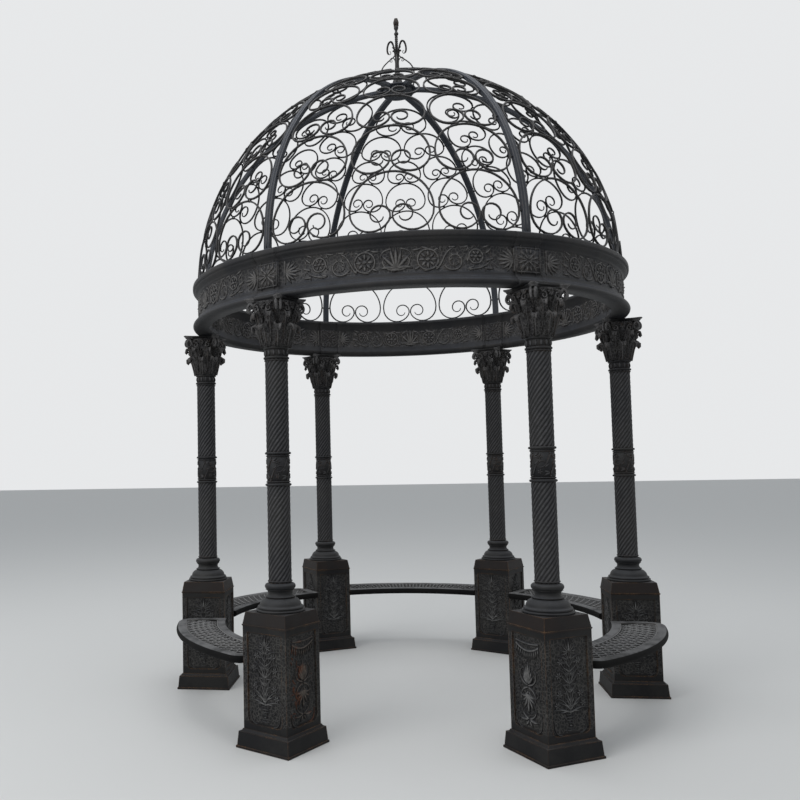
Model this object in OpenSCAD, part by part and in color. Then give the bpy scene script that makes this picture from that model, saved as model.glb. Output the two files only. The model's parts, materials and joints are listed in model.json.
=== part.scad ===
// Garden rotunda: six cast columns on pedestals, curved benches, a ring beam and a scrollwork dome.
// Origin: bottom centre of the whole's box, at ground level. +Z is up, and the entrance faces -Y.
// The plan's centre lies centre_y along Y, because the entrance bay has no bench.
// Columns are numbered 1 to 6 anticlockwise seen from above, from the +X side.

/* [Plan] */
// Distance from the centre of the rotunda to each column's axis
plan_r = 1500; // [1300:10:1800]
// Turn of the ring beam and dome against the columns, in degrees
top_turn = -2; // [-3:0.5:3]

/* [Pedestals] */
// Height of a pedestal
pedestal_h = 760; // [640:10:900]
// Width of the plain middle of a pedestal
pedestal_w = 314; // [280:2:360]
// Width of the foot flange
flange_w = 382; // [370:2:420]
// Thickness of the foot flange
flange_t = 12; // [8:1:20]
// Height of the battered skirting, from the ground
skirting_h = 91; // [70:1:120]
// Height of the tapered cap block
cap_h = 70; // [50:1:90]
// Width of the cap block at its top
cap_w = 292; // [290:2:310]
// Width of the border round each sunk panel
panel_border = 34; // [24:1:50]
// Depth of each sunk panel
panel_sink = 8; // [4:1:12]

/* [Columns] */
// Radius of the spiral shaft over its ropes
shaft_r = 68; // [55:1:80]
// Number of ropes in the spiral
ropes = 12; // [10:1:14]
// Depth of the grooves between ropes
groove = 8; // [4:1:10]
// Height of the column base
base_h = 160; // [120:5:200]
// Radius of the base's foot disc
base_r = 142; // [120:1:145]
// Length of the lower spiral
spiral_low_h = 565; // [400:5:700]
// Length of the ornamented middle band
band_h = 185; // [120:5:240]
// Length of the upper spiral
spiral_top_h = 557; // [400:5:700]
// Length of the smooth neck, with its two rings
neck_h = 61; // [40:1:90]
// Height of the capital
capital_h = 292; // [220:2:340]
// Half width of the capital's top plate
abacus_half = 156; // [130:1:180]

/* [Benches] */
// Height of the seat's top
seat_h = 505; // [440:5:540]
// Thickness of the seat's edge
seat_t = 50; // [35:1:60]
// How far the seat reaches inside the circle of the columns
seat_in = 170; // [140:5:220]
// How far the seat reaches outside the circle of the columns
seat_out = 180; // [120:5:260]
// Radius of the rounded outer corners of a seat
seat_corner_r = 90; // [60:5:120]
// Width of the smooth border round the pierced field
seat_border = 64; // [50:2:90]
// Thickness of the pierced field
field_t = 10; // [6:1:20]
// Depth of the field below the border
field_sink = 5; // [2:1:10]
// Number of rows of holes across the field
hole_rows = 5; // [3:1:8]
// Width of the bars between the holes
mesh_bar = 9; // [6:1:14]

/* [Ring beam] */
// Height of the ring beam
beam_h = 305; // [240:5:360]
// Thickness of the ring beam, inwards from the circle of the columns
beam_t = 70; // [40:5:110]
// How far the two mouldings stand out from the frieze
moulding_out = 42; // [30:1:60]
// Width of the block over each column
block_w = 170; // [120:5:240]
// How far the blocks stand out from the frieze
block_out = 10; // [5:1:20]

/* [Dome] */
// Width of a rib
rib_w = 46; // [30:1:70]
// Thickness of a rib
rib_t = 22; // [12:1:30]
// Thickness of a scroll bar
bar = 11; // [8:0.5:16]
// Half width of the square collar that ties two bars
collar_half = 8; // [6:0.5:10]
// Gap between the bars in a collar
collar_gap = 2; // [1.5:0.5:4]
// Gap between neighbouring scrolls of a tier
side_gap = 18; // [10:1:30]
// Number of scrolls in each tier, from the ring beam up
tier_counts = [3, 3, 3, 3, 3, 2, 1];
// Width of the flat rail under the scrolls
rail_w = 24; // [14:1:40]
// Thickness of the flat rail
rail_t = 5; // [3:0.5:12]
// Radius of the crown where the ribs meet
crown_r = 115; // [95:5:160]
// Thickness of the crown plate
crown_t = 30; // [26:1:40]
// How far the crown plate laps over the ribs
crown_lap = 20; // [8:1:30]
// Height of the finial above the crown
finial_h = 560; // [400:10:700]

/* [Hidden] */
smooth = 96;
iron = "#2e2f33";
worn_iron = "#3c3a38";
seat_grey = "#6a6a6c";

seat_in_r = plan_r - seat_in;
seat_out_r = plan_r + seat_out;
beam_out_r = plan_r;
beam_in_r = plan_r - beam_t;
dome_r = plan_r;
column_h = base_h + spiral_low_h + band_h + spiral_top_h + neck_h;
capital_z = pedestal_h + column_h;
beam_z = capital_z + capital_h;
dome_z = beam_z + beam_h;
crown_z = dome_z + sqrt(pow(dome_r, 2) - pow(crown_r, 2)) - rib_t;
bay = 60;
front_reach = plan_r * sin(bay) + flange_w / 2 * (sin(bay) + cos(bay));
centre_y = (front_reach - seat_out_r) / 2;

// Radial frame of column i, counted from 1
module at_column(i) rotate(bay * (i - 1)) translate([plan_r, 0, 0]) children();

// Square block with tapering sides
module taper(w0, w1, h) linear_extrude(h, scale = w1 / w0) square(w0, center = true);

module panel_outline(w, h, r) {
    translate([-w / 2, r]) square([w, h - r]);
    translate([-w / 2 + r, 0]) square([w - 2 * r, h]);
    for (s = [-1, 1]) translate([s * (w / 2 - r), r]) circle(r, $fn = smooth);
}

module pedestal(i) {
    bead_h = 14;
    lip_h = 8;
    body_z = skirting_h + bead_h;
    body_top = pedestal_h - cap_h - lip_h;
    panel_w = pedestal_w - 2 * panel_border;
    panel_h = body_top - body_z - 2 * panel_border;
    color(worn_iron) at_column(i) {
        translate([-flange_w / 2, -flange_w / 2, 0]) cube([flange_w, flange_w, flange_t]);
        translate([0, 0, flange_t]) taper(flange_w - 10, flange_w - 24, skirting_h - flange_t);
        translate([0, 0, skirting_h]) taper(pedestal_w + 22, pedestal_w + 8, bead_h);
        difference() {
            translate([-pedestal_w / 2, -pedestal_w / 2, body_z])
                cube([pedestal_w, pedestal_w, body_top - body_z]);
            for (a = [0:90:270]) rotate(a)
                translate([0, -pedestal_w / 2 + panel_sink, body_z + panel_border]) rotate([90, 0, 0])
                    linear_extrude(2 * panel_sink) panel_outline(panel_w, panel_h, panel_border);
        }
        translate([0, 0, body_top]) taper(pedestal_w + 4, pedestal_w + 10, lip_h);
        translate([0, 0, body_top + lip_h]) taper(pedestal_w + 2, cap_w, cap_h);
    }
}

// Outline of a spiral shaft: a crest and a groove for each rope
module rope_section() {
    n = 2 * ropes;
    polygon([for (k = [0:n - 1]) let (r = k % 2 == 0 ? shaft_r : shaft_r - groove, a = 360 * k / n)
        [r * cos(a), r * sin(a)]]);
}

// Spiral between two heights, whose ropes rise to the right at about 50 degrees and end in the rings
module spiral(z0, z1) {
    into = 3;
    h = z1 - z0 + 2 * into;
    turn = h / tan(50) / shaft_r * 180 / PI;
    translate([0, 0, z0 - into]) linear_extrude(h, twist = -turn, slices = ceil(turn / 36)) rope_section();
}

// Foot disc, roll, bulging bell, step, hollow neck and torus
module column_base() rotate_extrude($fn = smooth) difference() {
    bell_r = 48;
    bell_x = base_r - 20 - bell_r;
    bell_z = 28;
    step_r = shaft_r + 18;
    step_z = bell_z + bell_r + 6;
    torus_r = 17;
    torus_z = base_h - torus_r - 2;
    union() {
        square([base_r, 14]);
        square([base_r - 16, bell_z]);
        translate([base_r - 17, 22]) circle(8, $fn = smooth);
        translate([bell_x, bell_z]) circle(bell_r, $fn = smooth);
        square([bell_x, bell_z + bell_r]);
        square([step_r, step_z]);
        square([shaft_r + 4, base_h]);
        translate([shaft_r + 5, torus_z]) circle(torus_r, $fn = smooth);
    }
    translate([shaft_r + 20, (step_z + torus_z) / 2]) circle(22, $fn = smooth);
    translate([-20, -1]) square([20, base_h + 2]);
}

// Thin ring round a shaft at height z
module shaft_ring(z, r, h) translate([0, 0, z]) rotate_extrude($fn = smooth) {
    square([r - h / 2, h]);
    translate([r - h / 2, h / 2]) circle(h / 2, $fn = 48);
}

module column(i) {
    low_z = base_h;
    band_z = low_z + spiral_low_h;
    top_z = band_z + band_h;
    neck_z = top_z + spiral_top_h;
    color(iron) at_column(i) translate([0, 0, pedestal_h]) {
        column_base();
        spiral(low_z, band_z);
        translate([0, 0, band_z]) cylinder(h = band_h, r = shaft_r - 1, $fn = smooth);
        shaft_ring(band_z - 6, shaft_r + 9, 14);
        shaft_ring(top_z - 8, shaft_r + 9, 14);
        spiral(top_z, neck_z);
        translate([0, 0, neck_z]) cylinder(h = neck_h, r = shaft_r - 1, $fn = smooth);
        shaft_ring(neck_z - 6, shaft_r + 8, 14);
        shaft_ring(neck_z + neck_h - 14, shaft_r + 8, 14);
    }
}

// Top plate of a capital, with hollow sides and pointed corners
module abacus_outline() difference() {
    square(2 * abacus_half, center = true);
    for (a = [0:90:270]) rotate(a) translate([abacus_half * 2.42, 0]) circle(abacus_half * 1.7, $fn = smooth);
}

// Centre of the circle of radius r through p and q that lies to the right on the way from p to q
function bow_centre(p, q, r) = let (d = q - p) (p + q) / 2 + [d[1], -d[0]] / norm(d) * sqrt(r * r - d * d / 4);

// Strip of thickness t and width w in a radial plane, bent from p to q about that centre
module bow(p, q, r, t, w) {
    c = bow_centre(p, q, r);
    from = atan2(q[1] - c[1], q[0] - c[0]);
    to = atan2(p[1] - c[1], p[0] - c[0]);
    translate([c[0], 0, c[1]]) rotate([90, 0, 0]) translate([0, 0, -w / 2])
        rotate_extrude(start = from, angle = (to - from + 720) % 360, $fn = smooth)
            translate([r - t / 2, 0]) square([t, w]);
}

// Leaf that leans out from the bell at root_z to the point tip, and curls down over the radius curl
module leaf(root_z, tip, r, curl, t, w) {
    root = [shaft_r + 6, root_z];
    c = bow_centre(root, tip, r);
    d = (c - tip) / norm(c - tip);
    back = tip + [d[1], -d[0]] * 4;
    under = tip + 2 * d * curl;
    bow(root, tip, r, t, w);
    bow(back, under, norm(under - back) * 0.51, t - 1, w - 6);
}

// Bell with two rows of leaves, four corner scrolls and a flower on each side, under a hollow-sided plate
module capital(i) {
    plate_t = 22;
    bell_h = capital_h - plate_t;
    flare_r = 210;
    color(iron) at_column(i) translate([0, 0, capital_z]) {
        rotate_extrude($fn = smooth) difference() {
            square([shaft_r + 44, bell_h]);
            translate([shaft_r + 6 + flare_r, bell_h - 200]) circle(flare_r, $fn = smooth);
            translate([shaft_r + 6, -1]) square([60, bell_h - 199]);
        }
        for (a = [0:45:315]) rotate(a) leaf(8, [shaft_r + 46, 132], 150, 13, 9, 46);
        for (a = [22.5:45:337.5]) rotate(a) leaf(80, [shaft_r + 52, 202], 170, 14, 9, 40);
        for (a = [45:90:315]) rotate(a) leaf(150, [shaft_r + 76, 250], 150, 17, 10, 34);
        for (a = [0:90:270]) rotate(a) translate([shaft_r + 40, 0, bell_h - 20]) sphere(24, $fn = smooth);
        translate([0, 0, bell_h]) linear_extrude(plate_t) abacus_outline();
    }
}

// Azimuth and radius of the centre that a seat's rounded outer corner turns about
function corner_az() = asin((pedestal_w / 2 + seat_corner_r) / (seat_out_r - seat_corner_r));

// Plan of a bench: a ring sector between two pedestals, with its two outer corners rounded, moved in by inset
module bench_plan(inset, side) {
    half = pedestal_w / 2 + side;
    corner = corner_az();
    corner_x = (seat_out_r - seat_corner_r) * cos(corner);
    corner_y = pedestal_w / 2 + seat_corner_r;
    difference() {
        circle(seat_out_r - inset, $fn = 4 * smooth);
        circle(seat_in_r + inset, $fn = 4 * smooth);
        rotate(bay) translate([-2 * seat_out_r, -half]) square(4 * seat_out_r);
        translate([-2 * seat_out_r, half - 4 * seat_out_r]) square(4 * seat_out_r);
        for (s = [0, 1]) rotate(bay * s) mirror([0, s]) difference() {
            polygon([
                [corner_x, corner_y], [corner_x, 0], [2 * seat_out_r, 0],
                2 * seat_out_r * [cos(corner), sin(corner)]]);
            translate([corner_x, corner_y]) circle(seat_corner_r - inset, $fn = smooth);
        }
    }
}

// Lozenge holes in staggered rows across the pierced field, with bars of about mesh_bar between them
module field_holes() {
    low_r = seat_in_r + seat_border;
    high_r = seat_out_r - seat_border;
    row = (high_r - low_r) / (hole_rows + 1);
    step = 1.6 * row / (low_r + high_r) * 360 / PI;
    thin = 0.72 * mesh_bar;
    for (k = [0:hole_rows - 1]) {
        r = low_r + row * (k + 1);
        wide = r * step * PI / 360 - thin;
        edge = asin((pedestal_w / 2 + seat_border + wide) / r);
        clear = k < hole_rows - 1 ? edge : max(edge, corner_az());
        n = 2 * floor((bay / 2 - clear) / step + k % 2 / 2) + 1 - k % 2;
        for (j = [0:n - 1]) rotate(bay / 2 + (j - (n - 1) / 2) * step) translate([r, 0])
            polygon([[row - thin, 0], [0, wide], [thin - row, 0], [0, -wide]]);
    }
}

// Half-round edge along a seat's outer side, its corners and its inner side
module seat_rolls() {
    r = seat_t / 2;
    corner = corner_az();
    side = asin(pedestal_w / 2 / (seat_in_r + r));
    rotate_extrude(start = corner, angle = bay - 2 * corner, $fn = 4 * smooth)
        translate([seat_out_r - r, 0]) circle(r, $fn = smooth);
    for (s = [0, 1]) rotate(bay * s) mirror([0, s]) rotate(corner)
        translate([seat_out_r - seat_corner_r, 0]) rotate_extrude(start = -90 - corner, angle = 93 + corner,
            $fn = smooth) translate([seat_corner_r - r, 0]) circle(r - 0.8, $fn = smooth);
    difference() {
        rotate_extrude(start = side - 2, angle = bay - 2 * side + 4, $fn = 4 * smooth)
            translate([seat_in_r + r, 0]) circle(r, $fn = smooth);
        translate([0, pedestal_w / 2 - 200, -seat_t]) cube([seat_out_r, 200, 2 * seat_t]);
        rotate(bay) translate([0, -pedestal_w / 2, -seat_t]) cube([seat_out_r, 200, 2 * seat_t]);
    }
}

// Cast seat plate with rolled edges, hollow underneath, with a sunk field of lozenge holes.
// Bench i fills the bay after column i, and the open entrance is the bay between columns 5 and 6
module bench(i) color(seat_grey) rotate(bay * (i < 5 ? i - 1 : 5)) translate([0, 0, seat_h - seat_t / 2]) {
    roll = seat_t / 2;
    crest = roll - 1;
    difference() {
        translate([0, 0, -crest]) linear_extrude(2 * crest) bench_plan(roll, 0);
        translate([0, 0, crest - field_sink]) linear_extrude(seat_t) bench_plan(seat_border, seat_border);
        translate([0, 0, -seat_t]) linear_extrude(seat_t + crest - field_sink - field_t)
            bench_plan(seat_border - 14, 24);
        translate([0, 0, -seat_t]) linear_extrude(2 * seat_t) field_holes();
    }
    seat_rolls();
}

module beam_profile() {
    low = 32;
    up = 44;
    translate([beam_in_r, 0]) square([beam_out_r - beam_in_r, beam_h]);
    translate([beam_out_r - 4, 2]) square([moulding_out - low + 8, 2 * low + 4]);
    translate([beam_out_r + moulding_out - low, low + 2]) circle(low, $fn = smooth);
    translate([beam_out_r - 4, beam_h - 2 * up - 8]) square([8, 2 * up]);
    translate([beam_out_r + moulding_out - up, beam_h - up - 8]) circle(up, $fn = smooth);
}

module beam(i) {
    half = asin(block_w / 2 / beam_out_r);
    color(iron) rotate(bay * (i - 1) + top_turn) translate([0, 0, beam_z])
        rotate_extrude(start = half, angle = bay - 2 * half, $fn = 4 * smooth) beam_profile();
}

module beam_blocks() {
    half = asin(block_w / 2 / beam_out_r);
    color(iron) for (i = [1:6]) rotate(bay * (i - 1) + top_turn) translate([0, 0, beam_z])
        rotate_extrude(start = -half, angle = 2 * half, $fn = 4 * smooth) {
            beam_profile();
            translate([beam_out_r - 1, 70]) square([block_out + 1, beam_h - 160]);
        }
}

// Meridian bar of the dome: a w by t section bent to the dome's radius
module meridian(w, t, from) rotate([90, 0, 0]) translate([0, 0, -w / 2])
    rotate_extrude(start = from, angle = 90 - from, $fn = 4 * smooth)
        translate([dome_r - t / 2, 0]) square([t, w]);

module rib(i) color(iron) rotate(bay * (i - 1) + top_turn) translate([0, 0, dome_z]) difference() {
    meridian(rib_w, rib_t, 0);
    cylinder(h = 2 * dome_r, r = crown_r, $fn = smooth);
}

// Unit vector at azimuth az and elevation el, and the way back
function dir(az, el) = [cos(el) * cos(az), cos(el) * sin(az), sin(el)];
function az_of(v) = atan2(v[1], v[0]);
function el_of(v) = asin(v[2]);
function unit(v) = v / norm(v);

// Point at t degrees from a along the great circle towards b
function along(a, b, t) = a * cos(t) + unit(b - (a * b) * a) * sin(t);

// Direction of v seen from c: 0 down the dome, 90 to the east, 180 up the dome
function bearing(c, v) = atan2(v * [-sin(az_of(c)), cos(az_of(c)), 0],
    v * [sin(el_of(c)) * cos(az_of(c)), sin(el_of(c)) * sin(az_of(c)), -cos(el_of(c))]);

// Point at rho degrees from c in the direction b
function at(c, rho, b) = c * cos(rho) + sin(rho) * (sin(b) * [-sin(az_of(c)), cos(az_of(c)), 0]
    + cos(b) * [sin(el_of(c)) * cos(az_of(c)), sin(el_of(c)) * sin(az_of(c)), -cos(el_of(c))]);

// Turns the Z axis to the unit vector v
module aim(v) rotate([0, 90 - el_of(v), az_of(v)]) children();

// Scroll bar of thickness t bent round the small circle of centre c and angular radius rho
module bend(c, rho, t, from, sweep) aim(c) rotate_extrude(start = from, angle = sweep, $fn = smooth)
    translate([dome_r * sin(rho), dome_r * cos(rho)]) square(t, center = true);

// Angle that a length along the dome spans
function span(mm) = mm / dome_r * 180 / PI;

// Square collar round two bars that pass at v
module collar(v) aim(v) translate([0, 0, dome_r]) cube([2 * collar_half, 2 * collar_half, bar - 3], center = true);

// Sizes of a C-scroll's foot, volute and curl as parts of the radius of its arch
foot_part = 0.513;
volute_part = 0.238;
curl_part = 0.14;

// Centre of the west (270) or east (90) foot of the scroll whose arch has the centre c and the radius rho
function foot_centre(c, rho, way) = along(at(c, rho, way), c, foot_part * rho);

// Angle below the west-east line at which the volute leaves the foot, so that two volutes just clear
function lean(rho) = acos((rho * (1 - foot_part - volute_part) - span((bar + collar_gap) / 2))
    / (rho * (foot_part - volute_part)));

// West foot and volute of a C-scroll, with a curl in the larger ones. Each bend is a little thinner
// than the one it starts in
module half_scroll(c, rho) {
    foot = foot_part * rho;
    volute = volute_part * rho;
    curl = curl_part * rho;
    into = 3;
    c1 = foot_centre(c, rho, 270);
    b1 = bearing(c1, at(c, rho, 270));
    sweep1 = 180 - lean(rho);
    p2 = at(c1, foot, b1 + sweep1);
    c2 = along(p2, c1, volute);
    b2 = bearing(c2, p2);
    curled = rho > 6;
    sweep2 = lean(rho) + (curled ? 135 : 190);
    p3 = at(c2, volute, b2 + sweep2);
    c3 = along(p3, c2, curl);
    bend(c1, foot, bar - 0.8, b1 - into, sweep1 + into);
    bend(c2, volute, bar - 1.6, b2 - into, sweep2 + into);
    if (curled) bend(c3, curl, bar - 2.4, bearing(c3, p3) - into, 100 + into);
}

// Mirror image about the meridian through c
module across(c) rotate(az_of(c)) mirror([0, 1, 0]) rotate(-az_of(c)) children();

module scroll(c, rho) {
    bend(c, rho, bar, 90, 180);
    half_scroll(c, rho);
    across(c) half_scroll(c, rho);
    collar(at(c, (foot_part - volute_part) * rho * sin(lean(rho)), 0));
}

// A tier is its arch centres' elevation and its number of scrolls. Its arches fit between the ribs
function half_gore(t) = bay / 2 - span(rib_w / 2 + 1) / cos(t[0]);
function tier_step(t) = 2 * half_gore(t) / t[1];
function tier_rho(t) = asin(cos(t[0]) * sin(tier_step(t) / 2)) - span((bar + side_gap) / 2);
function tier_centres(t) = [for (j = [0:t[1] - 1])
    dir(bay / 2 + tier_step(t) * (j - (t[1] - 1) / 2), t[0])];

// The lowest tier stands on the rail, and each other tier on the arches of the tier under it
function lowest(el, k) = k == 0 ? [el, tier_counts[0]]
    : lowest(foot_part * tier_rho([el, tier_counts[0]]) + span(rail_t + 1.5 + bar / 2), k - 1);
function room(t, under) = min([for (c = tier_centres(t), a = tier_centres(under),
        f = [foot_centre(c, tier_rho(t), 270), foot_centre(c, tier_rho(t), 90)])
    acos(f * a) - foot_part * tier_rho(t) - tier_rho(under)]) - span(bar + collar_gap);
function settle(n, under, lo, hi, k) = let (el = (lo + hi) / 2) k == 0 ? [el, n]
    : room([el, n], under) > 0 ? settle(n, under, lo, el, k - 1) : settle(n, under, el, hi, k - 1);
function stack(list, k) = k == len(tier_counts) ? list
    : let (under = list[k - 1])
        stack(concat(list, [settle(tier_counts[k], under, under[0] + 4, under[0] + 20, 20)]), k + 1);
tiers = stack([lowest(5, 8)], 1);

// Open panel between two ribs: a flat rail on the ring beam, and tiers of C-scrolls tied where they touch
module dome_panel(i) color(iron) rotate(bay * (i - 1) + top_turn) translate([0, 0, dome_z]) {
    edge = asin((rib_w / 2 + 1) / (dome_r - rail_w));
    rotate_extrude(start = edge, angle = bay - 2 * edge, $fn = 4 * smooth)
        translate([dome_r - rail_w, 0]) square([rail_w, rail_t]);
    for (t = tiers) for (c = tier_centres(t)) scroll(c, tier_rho(t));
    for (c = tier_centres(tiers[0]), way = [270, 90])
        collar(dir(az_of(foot_centre(c, tier_rho(tiers[0]), way)), span(collar_half + 0.5)));
    for (k = [1:len(tiers) - 1], c = tier_centres(tiers[k]), a = tier_centres(tiers[k - 1]), way = [270, 90]) {
        f = foot_centre(c, tier_rho(tiers[k]), way);
        foot = foot_part * tier_rho(tiers[k]);
        gap = acos(f * a) - foot - tier_rho(tiers[k - 1]);
        if (gap < span(bar + collar_gap + 2)) collar(along(f, a, foot + gap / 2));
    }
}

// Hub that the six ribs meet at, with a plate that laps over their ends
module crown() color(iron) translate([0, 0, crown_z]) {
    cylinder(h = crown_t, r = crown_r, $fn = smooth);
    translate([0, 0, rib_t]) cylinder(h = crown_t - rib_t, r = crown_r + crown_lap, $fn = smooth);
}

// Flared foot, struts and drooping scrolls on four sides, and a stem with a knop, a bud and a leaf point
module finial() color(iron) rotate(top_turn) translate([0, 0, crown_z + crown_t]) {
    flare_h = finial_h * 0.27;
    stem_r = 11;
    flare_r = crown_r - 12;
    d = flare_r - stem_r;
    sweep_r = (d * d + flare_h * flare_h) / 2 / d;
    rotate_extrude($fn = smooth) difference() {
        square([flare_r, flare_h]);
        translate([stem_r + sweep_r, flare_h]) circle(sweep_r, $fn = 2 * smooth);
    }
    cylinder(h = finial_h - 80, r = stem_r - 1.5, $fn = 48);
    translate([0, 0, flare_h + 12]) sphere(19, $fn = 48);
    translate([0, 0, finial_h * 0.63]) sphere(15, $fn = 48);
    translate([0, 0, finial_h * 0.69]) cylinder(h = 34, r1 = 10, r2 = 22, $fn = 48);
    translate([0, 0, finial_h * 0.69 + 33]) cylinder(h = 44, r1 = 22, r2 = 7, $fn = 48);
    translate([0, 0, finial_h - 92]) cylinder(h = 30, r1 = 8, r2 = 15, $fn = 48);
    translate([0, 0, finial_h - 63]) cylinder(h = 63, r1 = 15, r2 = 1, $fn = 48);
    for (a = [0:90:270]) rotate(a) {
        difference() {
            bow([14, flare_h + 10], [crown_r + 8, -3], 260, 7, 7);
            translate([crown_r - 20, -10, -20]) cube([60, 20, 20]);
        }
        top = [60, finial_h * 0.615];
        bow([6, finial_h * 0.33], [28, finial_h * 0.55], 400, 8, 8);
        bow([27, finial_h * 0.545], top, 52, 7.2, 7.2);
        bow(top - [2, 0.8], [104, finial_h * 0.42], 60, 6.4, 6.4);
        bow([104.4, finial_h * 0.43], [66, finial_h * 0.395], 24, 5.6, 5.6);
    }
}

translate([0, centre_y, 0]) {
    for (i = [1:6]) {
        pedestal(i);
        column(i);
        capital(i);
        beam(i);
        rib(i);
        dome_panel(i);
    }
    for (i = [1:5]) bench(i);
    beam_blocks();
    crown();
    finial();
}
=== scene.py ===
import json
import math

import bpy
import numpy as np
from mathutils import Matrix, Vector

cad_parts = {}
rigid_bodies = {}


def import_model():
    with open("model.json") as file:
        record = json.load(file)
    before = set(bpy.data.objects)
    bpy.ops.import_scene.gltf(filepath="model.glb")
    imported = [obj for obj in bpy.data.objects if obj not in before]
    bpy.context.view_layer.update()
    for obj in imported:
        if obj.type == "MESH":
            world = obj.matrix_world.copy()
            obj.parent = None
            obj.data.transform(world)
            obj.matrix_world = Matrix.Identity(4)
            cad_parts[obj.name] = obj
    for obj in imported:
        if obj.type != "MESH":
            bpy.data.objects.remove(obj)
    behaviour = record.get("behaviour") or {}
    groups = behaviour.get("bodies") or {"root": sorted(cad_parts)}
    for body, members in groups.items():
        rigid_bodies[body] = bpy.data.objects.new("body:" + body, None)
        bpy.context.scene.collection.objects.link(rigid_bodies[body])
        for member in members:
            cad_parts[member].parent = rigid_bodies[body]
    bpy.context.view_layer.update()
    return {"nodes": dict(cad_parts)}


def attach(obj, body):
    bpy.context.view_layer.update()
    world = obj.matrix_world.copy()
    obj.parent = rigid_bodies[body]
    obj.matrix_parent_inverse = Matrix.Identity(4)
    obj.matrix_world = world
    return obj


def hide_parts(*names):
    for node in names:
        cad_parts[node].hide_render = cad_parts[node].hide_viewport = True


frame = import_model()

# The camera stands just outside the entrance, a little to the left, at eye height, and looks slightly up.
eye = Vector((0.011, -6.155, 1.591))
yaw = -0.142293
pitch = 0.062909
roll = -0.018277
ahead = Vector((math.sin(yaw) * math.cos(pitch), math.cos(yaw) * math.cos(pitch), math.sin(pitch)))
level_right = Vector((math.cos(yaw), -math.sin(yaw), 0))
level_up = level_right.cross(ahead)
view_right = math.cos(roll) * level_right + math.sin(roll) * level_up
view_up = math.cos(roll) * level_up - math.sin(roll) * level_right
camera_data = bpy.data.cameras.new("camera")
camera_data.lens = 37.225
camera_data.sensor_width = 36
camera_data.shift_x = 0.1378
camera_data.shift_y = 0.0178
camera = bpy.data.objects.new("camera", camera_data)
turned = Matrix((view_right, view_up, -ahead)).transposed().to_4x4()
camera.matrix_world = Matrix.Translation(eye) @ turned
bpy.context.scene.collection.objects.link(camera)
bpy.context.scene.camera = camera

# The studio: one wide pale floor, an even pale sky all round, and two broad soft lamps.
# The sky looks pale to the camera and in reflections, and lights the iron a little less than white.
bpy.context.scene.view_settings.view_transform = "Standard"
sky_seen = (0.80, 0.81, 0.82, 1)
sky_light = 0.55


# A node with its settings, and its inputs given by title: a socket is linked to, anything else is set
def add_node(tree, kind, inputs=(), **settings):
    node = tree.nodes.new(kind)
    for title, value in settings.items():
        setattr(node, title, value)
    for title, value in dict(inputs).items():
        if isinstance(value, bpy.types.NodeSocket):
            tree.links.new(value, node.inputs[title])
        else:
            node.inputs[title].default_value = value
    return node


world = bpy.data.worlds.new("overcast")
bpy.context.scene.world = world
world.use_nodes = True
sky = world.node_tree
background = sky.nodes["Background"]
background.inputs["Color"].default_value = (0.90, 0.95, 1.0, 1)
background.inputs["Strength"].default_value = sky_light
pale_sky = add_node(sky, "ShaderNodeBackground", {"Color": sky_seen})
rays = sky.nodes.new("ShaderNodeLightPath")
seen = add_node(sky, "ShaderNodeMath", {0: rays.outputs["Is Camera Ray"], 1: rays.outputs["Is Glossy Ray"]},
                operation="MAXIMUM")
pick = add_node(sky, "ShaderNodeMixShader", {"Fac": seen.outputs[0], 1: background.outputs[0],
                                             2: pale_sky.outputs[0]})
sky.links.new(pick.outputs[0], sky.nodes["World Output"].inputs["Surface"])

floor_mesh = bpy.data.meshes.new("floor")
floor_half = 60
floor_level = -0.001
corners = [(x * floor_half, y * floor_half, floor_level) for x, y in ((-1, -1), (1, -1), (1, 1), (-1, 1))]
floor_mesh.from_pydata(corners, [], [(0, 1, 2, 3)])
floor = bpy.data.objects.new("floor", floor_mesh)
bpy.context.scene.collection.objects.link(floor)
floor_paint = bpy.data.materials.new("pale_floor")
floor_paint.use_nodes = True
floor_shader = floor_paint.node_tree.nodes["Principled BSDF"]
floor_shader.inputs["Base Color"].default_value = (0.62, 0.62, 0.61, 1)
floor_shader.inputs["Roughness"].default_value = 0.9
floor_mesh.materials.append(floor_paint)


def soft_lamp(name, place, target, size, watts):
    data = bpy.data.lights.new(name, "AREA")
    data.size = size
    data.energy = watts
    lamp = bpy.data.objects.new(name, data)
    lamp.location = place
    lamp.rotation_euler = (Vector(target) - Vector(place)).to_track_quat("-Z", "Y").to_euler()
    bpy.context.scene.collection.objects.link(lamp)


soft_lamp("lamp_overhead", (0, -1, 10), (0, 0, 2), 9, 420)
soft_lamp("lamp_left", (-7, -8, 6), (0, 0, 1.5), 6, 420)

# Pedestals: six hollow cast-iron blocks, each with a battered skirting, four sunk panels and a tapered cap.
# They are cast in one piece, painted near black over a brown primer, and stand on the paving.
# Arrises are rubbed to brown and ochre, and what faces up is painted blue-grey, as dust and a painted reflection of
# the sky.
plan_centre = np.array([0, -0.06002, 0])
columns_out = 1.5
paint_black = (0.0075, 0.0075, 0.0085, 1)
paint_mottle = (0.0165, 0.0160, 0.0155, 1)
rubbed_brown = (0.120, 0.060, 0.028, 1)
# The colour of what faces up: grey dust, tinted blue as a painted reflection of the sky
dust_and_sheen_grey = (0.085, 0.088, 0.095, 1)


def group_with(name, inputs, outputs):
    tree = bpy.data.node_groups.new(name, "ShaderNodeTree")
    for title, value in inputs:
        socket = tree.interface.new_socket(title, in_out="INPUT", socket_type="NodeSocketFloat")
        socket.default_value = value
    for title in outputs:
        tree.interface.new_socket(title, in_out="OUTPUT", socket_type="NodeSocketFloat")
    return tree, tree.nodes.new("NodeGroupInput").outputs, tree.nodes.new("NodeGroupOutput").inputs


def sums(tree, operation, *values, clamp=False):
    return add_node(tree, "ShaderNodeMath", enumerate(values), operation=operation, use_clamp=clamp).outputs[0]


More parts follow.
